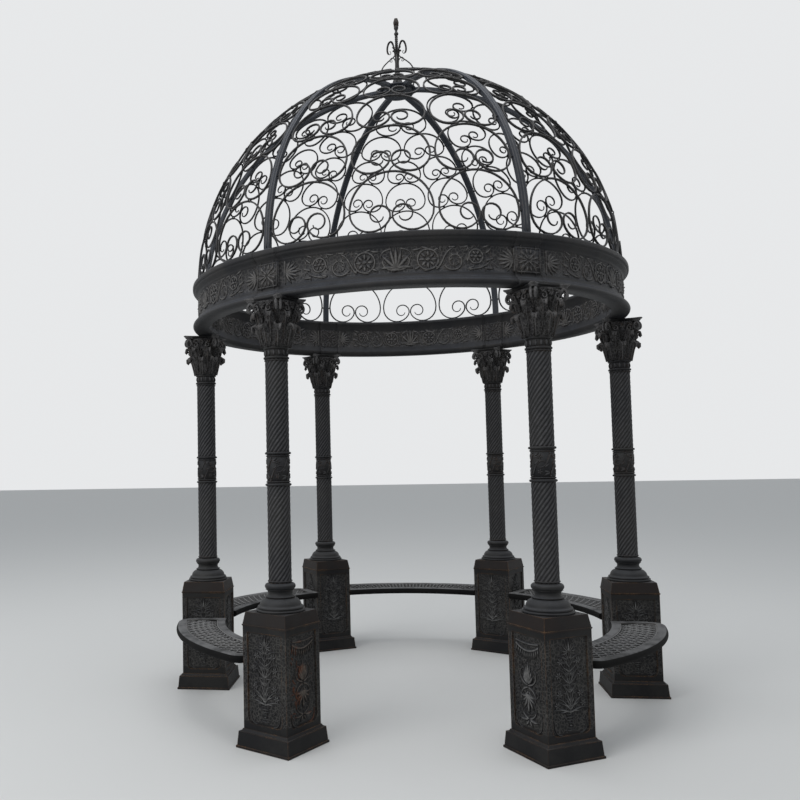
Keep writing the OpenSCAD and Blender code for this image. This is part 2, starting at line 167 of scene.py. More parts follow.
def ramp_between(tree, value, low, high):
    return add_node(tree, "ShaderNodeMapRange", {"Value": value, "From Min": low, "From Max": high},
                    interpolation_type="SMOOTHSTEP").outputs["Result"]


def noise_on(tree, scale, detail, roughness=0.5):
    place = tree.nodes.new("ShaderNodeTexCoord").outputs["Object"]
    return add_node(tree, "ShaderNodeTexNoise", {"Vector": place, "Scale": scale, "Detail": detail,
                                                 "Roughness": roughness}).outputs["Fac"]


def blend_colours(tree, mask, under, over):
    node = add_node(tree, "ShaderNodeMix", {"Factor": mask}, data_type="RGBA")
    ends = {socket.name: socket for socket in node.inputs if socket.type == "RGBA"}
    for title, colour in (("A", under), ("B", over)):
        if isinstance(colour, bpy.types.NodeSocket):
            tree.links.new(colour, ends[title])
        else:
            ends[title].default_value = colour
    return next(socket for socket in node.outputs if socket.type == "RGBA")


# Paint rubbed through on arrises, in patches
rubbing, given, put = group_with("rubbed_arrises", [("Width", 0.006), ("Reach", 0.5)], ["Mask"])
rounded = add_node(rubbing, "ShaderNodeBevel", {"Radius": given["Width"]}, samples=4)
flat = rubbing.nodes.new("ShaderNodeNewGeometry")
agree = add_node(rubbing, "ShaderNodeVectorMath", {0: rounded.outputs["Normal"], 1: flat.outputs["Normal"]},
                 operation="DOT_PRODUCT")
arris = ramp_between(rubbing, sums(rubbing, "SUBTRACT", 1.0, agree.outputs["Value"]), 0.015, 0.16)
patches = ramp_between(rubbing, noise_on(rubbing, 6.0, 5.0, 0.65), 0.46, 0.60)
chips = ramp_between(rubbing, noise_on(rubbing, 90.0, 3.0), 0.30, 0.62)
broken = sums(rubbing, "MULTIPLY", patches, chips)
worn = sums(rubbing, "MULTIPLY", arris, sums(rubbing, "MULTIPLY_ADD", broken, 0.85, 0.15))
rubbing.links.new(sums(rubbing, "MULTIPLY", worn, given["Reach"], clamp=True), put["Mask"])

# Dust that lies on what faces up, thicker in patches, and a painted reflection of the sky on the same faces
dust_and_sheen_tree, given, put = group_with("settled_dust", [("Amount", 0.5)], ["Mask"])
facing = dust_and_sheen_tree.nodes.new("ShaderNodeNewGeometry")
parts = add_node(dust_and_sheen_tree, "ShaderNodeSeparateXYZ", {0: facing.outputs["Normal"]})
upward = ramp_between(dust_and_sheen_tree, parts.outputs["Z"], 0.10, 0.95)
drift = ramp_between(dust_and_sheen_tree, noise_on(dust_and_sheen_tree, 11.0, 6.0, 0.6), 0.25, 0.75)
dust_and_sheen_mask = sums(dust_and_sheen_tree, "MULTIPLY", upward, sums(dust_and_sheen_tree, "MULTIPLY_ADD", drift, 0.6, 0.4))
dust_and_sheen_tree.links.new(sums(dust_and_sheen_tree, "MULTIPLY", dust_and_sheen_mask, given["Amount"], clamp=True), put["Mask"])

# Sand-cast skin: broad mottling, fine grain and a shallow pitted height
casting, given, put = group_with("cast_skin", [("Grain", 260.0)], ["Mottle", "Height", "Roughness"])
broad = noise_on(casting, 3.2, 7.0, 0.62)
fine = noise_on(casting, given["Grain"], 2.0)
streaks = noise_on(casting, 38.0, 4.0, 0.7)
casting.links.new(ramp_between(casting, sums(casting, "MULTIPLY_ADD", streaks, 0.35, broad), 0.52, 0.82),
                  put["Mottle"])
casting.links.new(sums(casting, "MULTIPLY_ADD", streaks, 0.6, fine), put["Height"])
casting.links.new(sums(casting, "MULTIPLY_ADD", streaks, 0.26, 0.44), put["Roughness"])


# Paint over a casting. tint: a colour, the scale of its patches and where they start. band: a colour for what
# lies above a height, and the width it comes in over. The net: its scale, lowest and highest level, strength.
# Raised crests are painted in the crest colour: a painted highlight, mixed with rubbed paint.
def cast_iron(name, black=paint_black, mottle=paint_mottle, rubbed=rubbed_brown, dust=dust_and_sheen_grey,
              width=0.006, reach=0.5, dust_and_sheen_amount=0.5, crest_highlight_and_rub=(0.085, 0.080, 0.078, 1), crest_highlight_and_rub_amount=0.6, grain=260.0,
              bump=0.25, tint=None, gloss=0.30, band=None, matt=0.0, highlight_net=None):
    paint = bpy.data.materials.new(name)
    paint.use_nodes = True
    tree = paint.node_tree
    shader = tree.nodes["Principled BSDF"]
    groups = bpy.data.node_groups
    skin = add_node(tree, "ShaderNodeGroup", {"Grain": grain}, node_tree=groups["cast_skin"])
    edge = add_node(tree, "ShaderNodeGroup", {"Width": width, "Reach": reach}, node_tree=groups["rubbed_arrises"])
    dust_and_sheen_mask = add_node(tree, "ShaderNodeGroup", {"Amount": dust_and_sheen_amount}, node_tree=groups["settled_dust"])
    raised = add_node(tree, "ShaderNodeAttribute", attribute_name="raised")
    # Painted highlight and rubbed paint on the crests, broken into patches
    highlight_and_rub_patches = sums(tree, "MULTIPLY_ADD", noise_on(tree, 40.0, 5.0, 0.65), 2.2, -0.50, clamp=True)
    crest_highlight_and_rub_mask = sums(tree, "MULTIPLY", ramp_between(tree, raised.outputs["Fac"], 0.32, 0.90), crest_highlight_and_rub_amount)
    crest_highlight_and_rub_mask = sums(tree, "MULTIPLY", crest_highlight_and_rub_mask, highlight_and_rub_patches)
    colour = blend_colours(tree, skin.outputs["Mottle"], black, mottle)
    if tint:
        tint_colour, tint_scale, tint_from = tint
        patch = ramp_between(tree, noise_on(tree, tint_scale, 4.0, 0.6), tint_from, tint_from + 0.10)
        colour = blend_colours(tree, patch, colour, tint_colour)
    place = tree.nodes.new("ShaderNodeTexCoord").outputs["Object"]
    level = add_node(tree, "ShaderNodeSeparateXYZ", {0: place}).outputs["Z"]
    if band:
        band_colour, band_from, band_width = band
        above = ramp_between(tree, level, band_from, band_from + band_width)
        patchy = sums(tree, "MULTIPLY_ADD", ramp_between(tree, noise_on(tree, 6.0, 5.0, 0.6), 0.30, 0.62), 0.7, 0.3)
        colour = blend_colours(tree, sums(tree, "MULTIPLY", above, patchy), colour, band_colour)
    # The net: thin lines painted in the crest colour over a band of heights, as painted highlights of carved detail
    if highlight_net:
        net_scale, net_low, net_high, net_amount = highlight_net
        cells = add_node(tree, "ShaderNodeTexVoronoi", {"Vector": place, "Scale": net_scale},
                         feature="DISTANCE_TO_EDGE")
        line = sums(tree, "SUBTRACT", 1.0, ramp_between(tree, cells.outputs["Distance"], 0.03, 0.16))
        over_low = ramp_between(tree, level, net_low, net_low + 0.004)
        over_high = ramp_between(tree, level, net_high, net_high + 0.004)
        span = sums(tree, "MULTIPLY", over_low, sums(tree, "SUBTRACT", 1.0, over_high))
        line = sums(tree, "MULTIPLY", sums(tree, "MULTIPLY", line, span), highlight_and_rub_patches)
        colour = blend_colours(tree, sums(tree, "MULTIPLY", line, net_amount), colour, crest_highlight_and_rub)
    colour = blend_colours(tree, crest_highlight_and_rub_mask, colour, crest_highlight_and_rub)
    colour = blend_colours(tree, edge.outputs["Mask"], colour, rubbed)
    # What faces up gets dust and, by its blue tint, a painted reflection of the sky
    colour = blend_colours(tree, dust_and_sheen_mask.outputs["Mask"], colour, dust)
    tree.links.new(colour, shader.inputs["Base Color"])
    rough = sums(tree, "MULTIPLY_ADD", dust_and_sheen_mask.outputs["Mask"], 0.35, skin.outputs["Roughness"], clamp=True)
    rough = sums(tree, "ADD", rough, matt, clamp=True)
    tree.links.new(rough, shader.inputs["Roughness"])
    shader.inputs["Metallic"].default_value = 0.0
    shader.inputs["Specular IOR Level"].default_value = gloss
    pits = add_node(tree, "ShaderNodeBump", {"Strength": bump, "Distance": 0.002, "Height": skin.outputs["Height"]})
    tree.links.new(pits.outputs["Normal"], shader.inputs["Normal"])
    return paint


def finish_node(name, paint):
    for slot in frame["nodes"][name].material_slots:
        slot.material = paint


# The sunk panels carry a net of lines painted as highlights of carved detail; the red-brown cap is its paint
plinth_iron = cast_iron("plinth_iron", width=0.008, reach=0.85, dust_and_sheen_amount=0.35, rubbed=(0.150, 0.080, 0.036, 1),
                        tint=((0.026, 0.014, 0.010, 1), 1.5, 0.64), crest_highlight_and_rub=(0.100, 0.096, 0.090, 1),
                        crest_highlight_and_rub_amount=0.9, gloss=0.16, band=((0.0150, 0.0112, 0.0100, 1), 0.680, 0.008),
                        highlight_net=(52.0, 0.150, 0.640, 0.55))
# Pedestal ornament: its crests are painted pale grey, or pale rust on the rusty face, as a painted highlight with
# rubbed paint
relief_iron = cast_iron("relief_iron", width=0.002, reach=0.22, dust_and_sheen_amount=0.55, rubbed=(0.100, 0.066, 0.045, 1),
                        crest_highlight_and_rub=(0.185, 0.182, 0.178, 1), crest_highlight_and_rub_amount=1.0, gloss=0.16)
rusty_iron = cast_iron("rusty_iron", width=0.002, reach=0.40, dust_and_sheen_amount=0.30, rubbed=(0.150, 0.062, 0.028, 1),
                       tint=((0.070, 0.024, 0.011, 1), 9.0, 0.50), crest_highlight_and_rub=(0.150, 0.125, 0.105, 1),
                       crest_highlight_and_rub_amount=0.9, gloss=0.16)
for i in range(1, 7):
    finish_node(f"pedestal_{i}", plinth_iron)


# A geometry tree takes a Material besides its own sizes, and coats what it has made with it at the end
def new_tree(name, sizes):
    tree = bpy.data.node_groups.new(name, "GeometryNodeTree")
    tree.interface.new_socket("Geometry", in_out="INPUT", socket_type="NodeSocketGeometry")
    keys = {title: tree.interface.new_socket(title, in_out="INPUT", socket_type=kind).identifier
            for title, kind in (*sizes, ("Material", "NodeSocketMaterial"))}
    tree.interface.new_socket("Geometry", in_out="OUTPUT", socket_type="NodeSocketGeometry")
    return tree, keys, tree.nodes.new("NodeGroupInput").outputs


def run_along(tree, line, section):
    return add_node(tree, "GeometryNodeCurveToMesh", {"Curve": line, "Profile Curve": section, "Fill Caps": True})


def thin_with_line(tree, run):
    tree.links.new(tree.nodes.new("GeometryNodeInputRadius").outputs["Radius"], run.inputs["Scale"])


def coat(tree, geometry, given):
    made = add_node(tree, "GeometryNodeRealizeInstances", {"Geometry": geometry})
    coated = add_node(tree, "GeometryNodeSetMaterial", {"Geometry": made.outputs["Geometry"],
                                                        "Material": given["Material"]})
    add_node(tree, "NodeGroupOutput", {"Geometry": coated.outputs["Geometry"]})


# What a tree makes of a drawing, as the places of its points and its faces
def built_shape(tree, keys, sizes, data):
    holder = bpy.data.objects.new("holder", data)
    bpy.context.scene.collection.objects.link(holder)
    builder = holder.modifiers.new("builder", "NODES")
    builder.node_group = tree
    for title, value in sizes.items():
        builder[keys[title]] = value
    mesh = bpy.data.meshes.new_from_object(holder.evaluated_get(bpy.context.evaluated_depsgraph_get()))
    places = np.empty(len(mesh.vertices) * 3, np.float32)
    mesh.vertices.foreach_get("co", places)
    faces = [tuple(face.vertices) for face in mesh.polygons]
    bpy.data.batch_remove([holder, data, mesh])
    return places.reshape(-1, 3).astype(float), faces


def drawing_of(strokes):
    drawing = bpy.data.curves.new("drawing", "CURVE")
    drawing.dimensions = "3D"
    for points, radii in strokes:
        spline = drawing.splines.new("POLY")
        spline.points.add(len(points) - 1)
        spline.points.foreach_set("co", np.c_[points, np.ones(len(points))].astype(np.float32).ravel())
        spline.points.foreach_set("radius", np.broadcast_to(radii, len(points)).astype(np.float32))
    return drawing


# Round bar bent along each stroke of a drawing, as thick as the stroke and closed at its ends
bars, bar_keys, given = new_tree("round_bars", [("Sides", "NodeSocketInt")])
section = add_node(bars, "GeometryNodeCurvePrimitiveCircle", {"Radius": 1.0, "Resolution": given["Sides"]})
bar_run = run_along(bars, given["Geometry"], section.outputs["Curve"])
thin_with_line(bars, bar_run)
smooth_bar = add_node(bars, "GeometryNodeSetShadeSmooth", {"Geometry": bar_run.outputs["Mesh"]})
coat(bars, smooth_bar.outputs["Geometry"], given)


def swept(strokes, paint, sides):
    return built_shape(bars, bar_keys, {"Sides": sides, "Material": paint}, drawing_of(strokes))


# Places by their distance from an upright axis, the angle round it and their height
def round_axis(reach, angle, height):
    return np.stack(np.broadcast_arrays(reach * np.cos(angle), reach * np.sin(angle), height), -1)


# One piece from shapes that share its paint; raised says where the ornament stands out and gets a painted highlight
# with rubbed paint
def piece_from(name, shapes, paint, raised):
    places = np.concatenate([shape[0] for shape in shapes])
    starts = np.cumsum([0] + [len(shape[0]) for shape in shapes])
    faces = [tuple(corner + start for corner in face) for shape, start in zip(shapes, starts) for face in shape[1]]
    mesh = bpy.data.meshes.new(name)
    mesh.from_pydata(places.tolist(), [], faces)
    mesh.polygons.foreach_set("use_smooth", np.ones(len(faces), bool))
    mesh.attributes.new("raised", "FLOAT", "POINT").data.foreach_set("value", raised.astype(np.float32))
    mesh.materials.append(paint)
    mesh.update()
    piece = bpy.data.objects.new(name, mesh)
    bpy.context.scene.collection.objects.link(piece)
    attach(piece, "root")
    return piece


# A stroke of an ornament is drawn by its heading and by how sharply it bends at its two ends
def bent_stroke(x, y, heading, length, bend_from, bend_to, thick_from, thick_to, depth=0.0, ease=1.0):
    count = max(5, int(length / 0.008) + 1)
    step = length / (count - 1)
    bend = bend_from + (bend_to - bend_from) * np.linspace(0, 1, count) ** ease
    turned = math.radians(heading) + np.concatenate([[0], np.cumsum((bend[1:] + bend[:-1]) / 2)]) * step
    xs = x + np.concatenate([[0], np.cumsum(np.cos(turned[:-1]) * step)])
    ys = y + np.concatenate([[0], np.cumsum(np.sin(turned[:-1]) * step)])
    return np.c_[xs, ys, np.full(count, depth)], np.linspace(thick_from, thick_to, count)


def leaf_stroke(x, y, heading, length, width, bend=0.0, depth=0.0):
    along = np.linspace(0, 1, 5)
    points, _ = bent_stroke(x, y, heading, length, bend, bend, 1, 1, depth)
    pick = np.linspace(0, len(points) - 1, 5).astype(int)
    return points[pick], width / 2 * np.sin(np.pi * (0.12 + 0.82 * along)) ** 0.8


def petals_round(x, z, eye, petals, length, width):
    turns = [360 * k / petals for k in range(petals)]
    return [leaf_stroke(x + eye * math.cos(math.radians(turn)), z + eye * math.sin(math.radians(turn)), turn,
                        length, width) for turn in turns]


def mirrored(strokes):
    return strokes + [(points * (-1, 1, 1), radii) for points, radii in strokes]


# Small low leaves strewn over the ground of an ornament, always in the same places
def strewn_leaves(low, high, count, seed):
    dice = np.random.default_rng(seed)
    width = 0.012
    length = 0.034
    strokes = []
    for _ in range(count):
        x, z = dice.uniform(low, high)
        strokes.append(leaf_stroke(x, z, dice.uniform(0, 360), length * dice.uniform(0.6, 1.1),
                                   width * dice.uniform(0.7, 1.1), dice.uniform(-40, 40), -0.0010))
    return strokes


# Raised ornament of a pedestal panel: an urn, and a stem with leaves and crossing scrolls up to a bow
urn = [leaf_stroke(-width / 2, z, 0, width, thick) for z, width, thick in (
    (0.022, 0.076, 0.010), (0.034, 0.046, 0.009), (0.048, 0.020, 0.014), (0.062, 0.036, 0.010),
    (0.076, 0.058, 0.011), (0.091, 0.068, 0.011), (0.106, 0.060, 0.010), (0.119, 0.082, 0.009))]
stem = [bent_stroke(0, 0.110, 90, 0.350, 0, 0, 0.0065, 0.0045)]
sprays = []
for z, lean, length, curl, width in ((0.118, 16, 0.140, -30, 0.0080), (0.132, 48, 0.125, -36, 0.0078),
                                     (0.172, 68, 0.130, -21, 0.0070), (0.222, 38, 0.092, 46, 0.0066),
                                     (0.268, 33, 0.112, 42, 0.0068), (0.268, 62, 0.120, -38, 0.0068),
                                     (0.332, 28, 0.098, 50, 0.0064), (0.356, 55, 0.104, -42, 0.0064)):
    sprays.append(bent_stroke(0.002, z, lean, length, 2, curl, width, 0.0034, ease=1.5))
for z, lean, length, width in ((0.122, 5, 0.076, 0.022), (0.140, 35, 0.086, 0.022), (0.156, 62, 0.066, 0.020),
                               (0.206, 25, 0.062, 0.018), (0.244, 68, 0.054, 0.017), (0.258, 12, 0.064, 0.018),
                               (0.304, 40, 0.062, 0.018), (0.318, 74, 0.050, 0.016), (0.376, 8, 0.076, 0.019),
                               (0.388, 34, 0.076, 0.019), (0.398, 62, 0.064, 0.018), (0.184, -25, 0.052, 0.017),
                               (0.288, -30, 0.044, 0.015), (0.348, -28, 0.044, 0.015)):
    sprays.append(leaf_stroke(0.003, z, lean, length * 0.86, width * 0.62, -6))
for z in (0.150, 0.235, 0.320, 0.405):
    for lean, length, from_bend, to_bend in ((50, 0.105, 26, -20), (-50, 0.105, -26, 20), (12, 0.110, 30, 46),
                                             (-14, 0.100, -30, -48)):
        sprays.append(bent_stroke(0.004, z, lean, length, from_bend, to_bend, 0.0054, 0.0030, ease=1.2))
for x, z in ((0.068, 0.212), (0.072, 0.312), (0.058, 0.384), (0.084, 0.158)):
    sprays += petals_round(x, z, 0, 6, 0.024, 0.013)
bow = [leaf_stroke(0, 0.436, 90, 0.060, 0.017)]
bow += mirrored([leaf_stroke(0.002, 0.434, 90 - turn, 0.060, 0.012, 4) for turn in (26, 54, 84, 112)])
corner_bows = mirrored([bent_stroke(0.106, 0.075, -90, 0.100, 0, -34, 0.0048, 0.0048, ease=0.8)])
strewn = strewn_leaves((-0.106, 0.03), (0.106, 0.485), 30, 7)
urn_panel = urn + stem + mirrored(sprays) + bow + corner_bows + strewn

# The other panel, on a face of four of the pedestals: a fringed swag on top, a bud with leaves, a spray below
swag_top = 0.455
swag_half = 0.095
hang = np.linspace(-swag_half, swag_half, 17)
sag = 1 - (hang / swag_half) ** 2
swag = [(np.c_[hang, swag_top - 0.030 * sag, 0 * hang], 0.0085),
        (np.c_[hang, swag_top + 0.018 - 0.010 * sag, 0 * hang], 0.0065)]
for u in np.linspace(-0.088, 0.088, 12):
    swag.append(leaf_stroke(u, swag_top - 0.034 * (1 - (u / swag_half) ** 2), -90 + u * 90, 0.046, 0.014))
bud = [leaf_stroke(0, 0.250, 90 - turn, 0.115 - abs(turn) * 0.0009, 0.026, turn / 5)
       for turn in (-60, -38, -18, 0, 18, 38, 60)]
bud += mirrored([bent_stroke(0.006, 0.240, 10, 0.150, 10, 44, 0.0080, 0.0036, ease=1.3),
                 bent_stroke(0.006, 0.228, -14, 0.130, -10, -44, 0.0080, 0.0036, ease=1.3),
                 bent_stroke(0.004, 0.205, -50, 0.120, 12, 46, 0.0074, 0.0036, ease=1.3)])
spray = [leaf_stroke(0, 0.190, -90 + turn, 0.100 - abs(turn) * 0.0007, 0.024, turn / 6)
         for turn in (-62, -40, -20, 0, 20, 40, 62)]
spray += mirrored([bent_stroke(0.006, 0.060, 20, 0.130, 6, 50, 0.0076, 0.0036, ease=1.3),
                   leaf_stroke(0.004, 0.060, -20, 0.076, 0.020, 8),
                   leaf_stroke(0.004, 0.052, -60, 0.040, 0.018, 8)])
strewn = strewn_leaves((-0.106, 0.03), (0.106, 0.42), 56, 11)
swag_panel = swag + bud + spray + corner_bows + strewn

# Each block carries a panel on its four faces. One face has lost its paint and is rusty.
panel_ground = 0.1495
panel_low = 0.139
flattened = 0.85
relief_depth = 0.0075
swag_faces = ((5, 1), (2, 1), (3, 3), (6, 3))
rusty_face = (5, 1)
drawn = [swept(drawing, relief_iron, 4) for drawing in (urn_panel, swag_panel)]
for i in range(1, 7):
    axis = math.radians(60 * (i - 1))
    foot = plan_centre + round_axis(columns_out, axis, 0)
    panels = [drawn[(i, face) in swag_faces] for face in range(4)]
    shapes = []
    for face, (places, faces) in enumerate(panels):
        out = axis + math.radians(90 * face)
        u, v, depth = places.T
        along_face = round_axis(u, out + math.pi / 2, 0)
        shapes.append((foot + along_face + round_axis(panel_ground + flattened * depth, out, panel_low + v), faces))
    height = np.clip(np.concatenate([places[:, 2] for places, _ in panels]) / relief_depth, 0, 1)
    ornament = piece_from(f"pedestal_ornament_{i}", shapes, relief_iron, height)
    if i == rusty_face[0]:
        ornament.data.materials.append(rusty_iron)
        first = sum(len(faces) for _, faces in panels[:rusty_face[1]])
        for polygon in ornament.data.polygons[first:first + len(panels[rusty_face[1]][1])]:
            polygon.material_index = 1

# Columns: slender cast-iron shafts on turned bases, a spiral of sixteen ropes below and above a carved band.
# Every column is one casting bolted down through its pedestal. Its rope crests are painted lighter than its
# grooves, as a painted highlight with rubbed paint.
shaft_foot = 0.760
shaft_r = 0.068
rope_count = 16
rope_climb = 52
rope_spans = ((0.917, 1.488), (1.667, 2.230))
column_iron = cast_iron("column_iron", black=(0.0075, 0.0080, 0.0095, 1), width=0.005, reach=0.55, dust_and_sheen_amount=0.45,
                        crest_highlight_and_rub=(0.075, 0.074, 0.078, 1), crest_highlight_and_rub_amount=0.75, gloss=0.26)

# The spiral: a lobed outline run up the axis and turned about it as it rises
rope_sizes = [(title, "NodeSocketFloat") for title in ("Radius", "Groove", "Height", "Turn per metre")]
ropes, rope_keys, given = new_tree("rope_shaft", [("Ropes", "NodeSocketInt")] + rope_sizes)
outline = add_node(ropes, "GeometryNodeCurvePrimitiveCircle", {
    "Resolution": sums(ropes, "MULTIPLY", given["Ropes"], 4.0), "Radius": given["Radius"]})
count_along = ropes.nodes.new("GeometryNodeInputIndex")
lobe = sums(ropes, "ABSOLUTE", sums(ropes, "SINE", sums(ropes, "MULTIPLY", count_along.outputs[0], math.pi / 4)))
sunk = sums(ropes, "SUBTRACT", 1.0, sums(ropes, "MULTIPLY", sums(ropes, "SUBTRACT", 1.0, lobe), given["Groove"]))
where = ropes.nodes.new("GeometryNodeInputPosition").outputs[0]
shrunk = add_node(ropes, "ShaderNodeVectorMath", {0: where, "Scale": sunk}, operation="SCALE")
lobed = add_node(ropes, "GeometryNodeSetPosition", {"Geometry": outline.outputs["Curve"],
                                                    "Position": shrunk.outputs[0]})
top_end = add_node(ropes, "ShaderNodeCombineXYZ", {"Z": given["Height"]})
axis_line = add_node(ropes, "GeometryNodeCurvePrimitiveLine", {"End": top_end.outputs[0]})
steps = add_node(ropes, "GeometryNodeResampleCurve", {"Curve": axis_line.outputs["Curve"], "Count": 31})
run = run_along(ropes, steps.outputs["Curve"], lobed.outputs["Geometry"])
rise = add_node(ropes, "ShaderNodeSeparateXYZ", {0: where})
angle = sums(ropes, "MULTIPLY", rise.outputs["Z"], given["Turn per metre"])
spun = add_node(ropes, "ShaderNodeVectorRotate", {"Vector": where, "Angle": angle}, rotation_type="Z_AXIS")
twisted = add_node(ropes, "GeometryNodeSetPosition", {"Geometry": run.outputs["Mesh"], "Position": spun.outputs[0]})
coat(ropes, twisted.outputs["Geometry"], given)


def rope_shape(low, high):
    sizes = {"Ropes": rope_count, "Radius": shaft_r, "Groove": 0.115, "Height": high - low,
             "Turn per metre": 1 / math.tan(math.radians(rope_climb)) / shaft_r, "Material": column_iron}
    places, faces = built_shape(ropes, rope_keys, sizes, bpy.data.meshes.new("seed"))
    return places + (0, 0, low), faces


# Faces between rows of n points that follow each other, and a face that closes each end
def skin_over(rows, n, flip=False):
    faces = []
    for k in range(rows - 1):
        for a in range(n):
            low, beside = k * n + a, k * n + (a + 1) % n
            faces.append((low, low + n, beside + n, beside) if flip else (low, beside, beside + n, low + n))
    ends = [tuple(range(n)), tuple(range((rows - 1) * n, rows * n))[::-1]]
    return faces + (ends if flip else [end[::-1] for end in ends])


# A turned shape from its outline, given as pairs of radius and height from the foot up and closed at both ends
def turned_shape(outline, sides=36):
    angles = np.arange(sides) * 2 * math.pi / sides
    return np.concatenate([round_axis(r, angles, z) for r, z in outline]), skin_over(len(outline), sides)


def rounded_outline(x, z, r, start, stop, count):
    return [(x + r * math.cos(math.radians(a)), z + r * math.sin(math.radians(a)))
            for a in np.linspace(start, stop, count)]


base_outline = ([(0.060, 0.0), (0.142, 0.0), (0.142, 0.013)] + rounded_outline(0.125, 0.022, 0.009, -60, 80, 8)
                + rounded_outline(0.074, 0.028, 0.048, 6, 84, 9) + [(0.0862, 0.0770), (0.0865, 0.0815)]
                + rounded_outline(0.092, 0.1035, 0.0205, 262, 110, 10)
                + rounded_outline(0.073, 0.141, 0.017, -75, 88, 9) + [(0.070, 0.160), (0.060, 0.161)])
column_shapes = [turned_shape(np.array(base_outline) + (0, shaft_foot))]
column_shapes += [rope_shape(low, high) for low, high in rope_spans]


def half_round_ring(z, r, thick, inside, count):
    nose = rounded_outline(r - thick, z, thick, -90, 90, count)
    return turned_shape([(inside, z - thick)] + nose + [(inside, z + thick)])


column_shapes += [half_round_ring(z, r, 0.0075, 0.055, 7)
                  for z, r in ((1.486, 0.077), (1.669, 0.077), (2.2285, 0.0765), (2.2860, 0.0765))]
column_shapes += [half_round_ring(z, r, 0.004, 0.060, 5)
                  for z, r in ((1.502, 0.0715), (1.653, 0.0715), (0.930, 0.0725), (2.213, 0.0725))]
column_shapes += [turned_shape([(0.066, low), (0.066, high)]) for low, high in ((1.480, 1.675), (2.224, 2.292))]


def leaves_at(leaves, bend):
    return [leaf_stroke(x, z, turn, length, width, bend) for x, z, turn, length, width in leaves]


# Raised scrolls of the middle band, and a row of drops round the neck, wrapped round the shaft
band_centre = 1.5775
curl = [bent_stroke(0.0, -0.055, 62, 0.150, 6, -74, 0.0052, 0.0022, ease=1.4),
        bent_stroke(0.0, 0.055, 242, 0.150, 6, -74, 0.0052, 0.0022, ease=1.4)]
curl += leaves_at(((0.006, 0.048, 15, 0.040, 0.013), (0.006, 0.048, -25, 0.034, 0.012),
                   (-0.006, -0.048, 195, 0.040, 0.013), (-0.006, -0.048, 155, 0.034, 0.012),
                   (0.012, 0.000, 30, 0.034, 0.011), (-0.012, 0.000, 210, 0.034, 0.011),
                   (0.000, 0.058, 90, 0.012, 0.012), (0.000, -0.070, 90, 0.012, 0.012)), 12)
curl += petals_round(0.044, 0.042, 0, 5, 0.017, 0.009) + petals_round(0.044, -0.042, 0, 5, 0.017, 0.009)
girth = 2 * math.pi * shaft_r
band_drawing = [(points + (k * girth / 4, band_centre, 0), radii) for k in range(4) for points, radii in curl]
band_drawing += [leaf_stroke(k * girth / 14, 2.274, -90, 0.036, 0.017) for k in range(14)]
band_places, band_faces = swept(band_drawing, column_iron, 5)
around, climb, depth = band_places.T
heights = [np.zeros(len(places)) for places, _ in column_shapes]
for k in (1, 2):
    heights[k] = np.clip((np.hypot(*column_shapes[k][0][:, :2].T) - 0.062) / 0.006, 0, 1)
column_height = np.concatenate([*heights, np.clip(depth / 0.006, 0, 1)])
column_shapes.append((round_axis(0.0665 + depth, around / shaft_r, climb), band_faces))


def turned_by(degrees):
    angle = math.radians(degrees)
    return np.array([[math.cos(angle), math.sin(angle), 0], [-math.sin(angle), math.cos(angle), 0], [0, 0, 1]])


def stood_at(i, places):
    return (places + (columns_out, 0, 0)) @ turned_by(60 * (i - 1)) + plan_centre


for i in range(1, 7):
    shaft = piece_from(f"spiral_column_{i}", [(stood_at(i, places), faces) for places, faces in column_shapes],
                       column_iron, column_height)
    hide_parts(f"column_{i}")

# Capitals: a flared bell with two rows of acanthus leaves, four corner scrolls and a rosette on each side,
# under a plate with hollow sides. They are cast in two halves and screwed round the shaft under the ring.
capital_foot = 2.288
# Leaf crests and a net of lines on the bell are painted lighter: painted highlights, with rubbed paint on the
# crests
capital_iron = cast_iron("capital_iron", black=(0.0070, 0.0070, 0.0080, 1), width=0.005, reach=0.8, dust_and_sheen_amount=0.40,
                         crest_highlight_and_rub=(0.120, 0.116, 0.116, 1), crest_highlight_and_rub_amount=0.9, gloss=0.18,
                         rubbed=(0.075, 0.052, 0.038, 1), highlight_net=(62.0, 2.290, 2.560, 0.5))


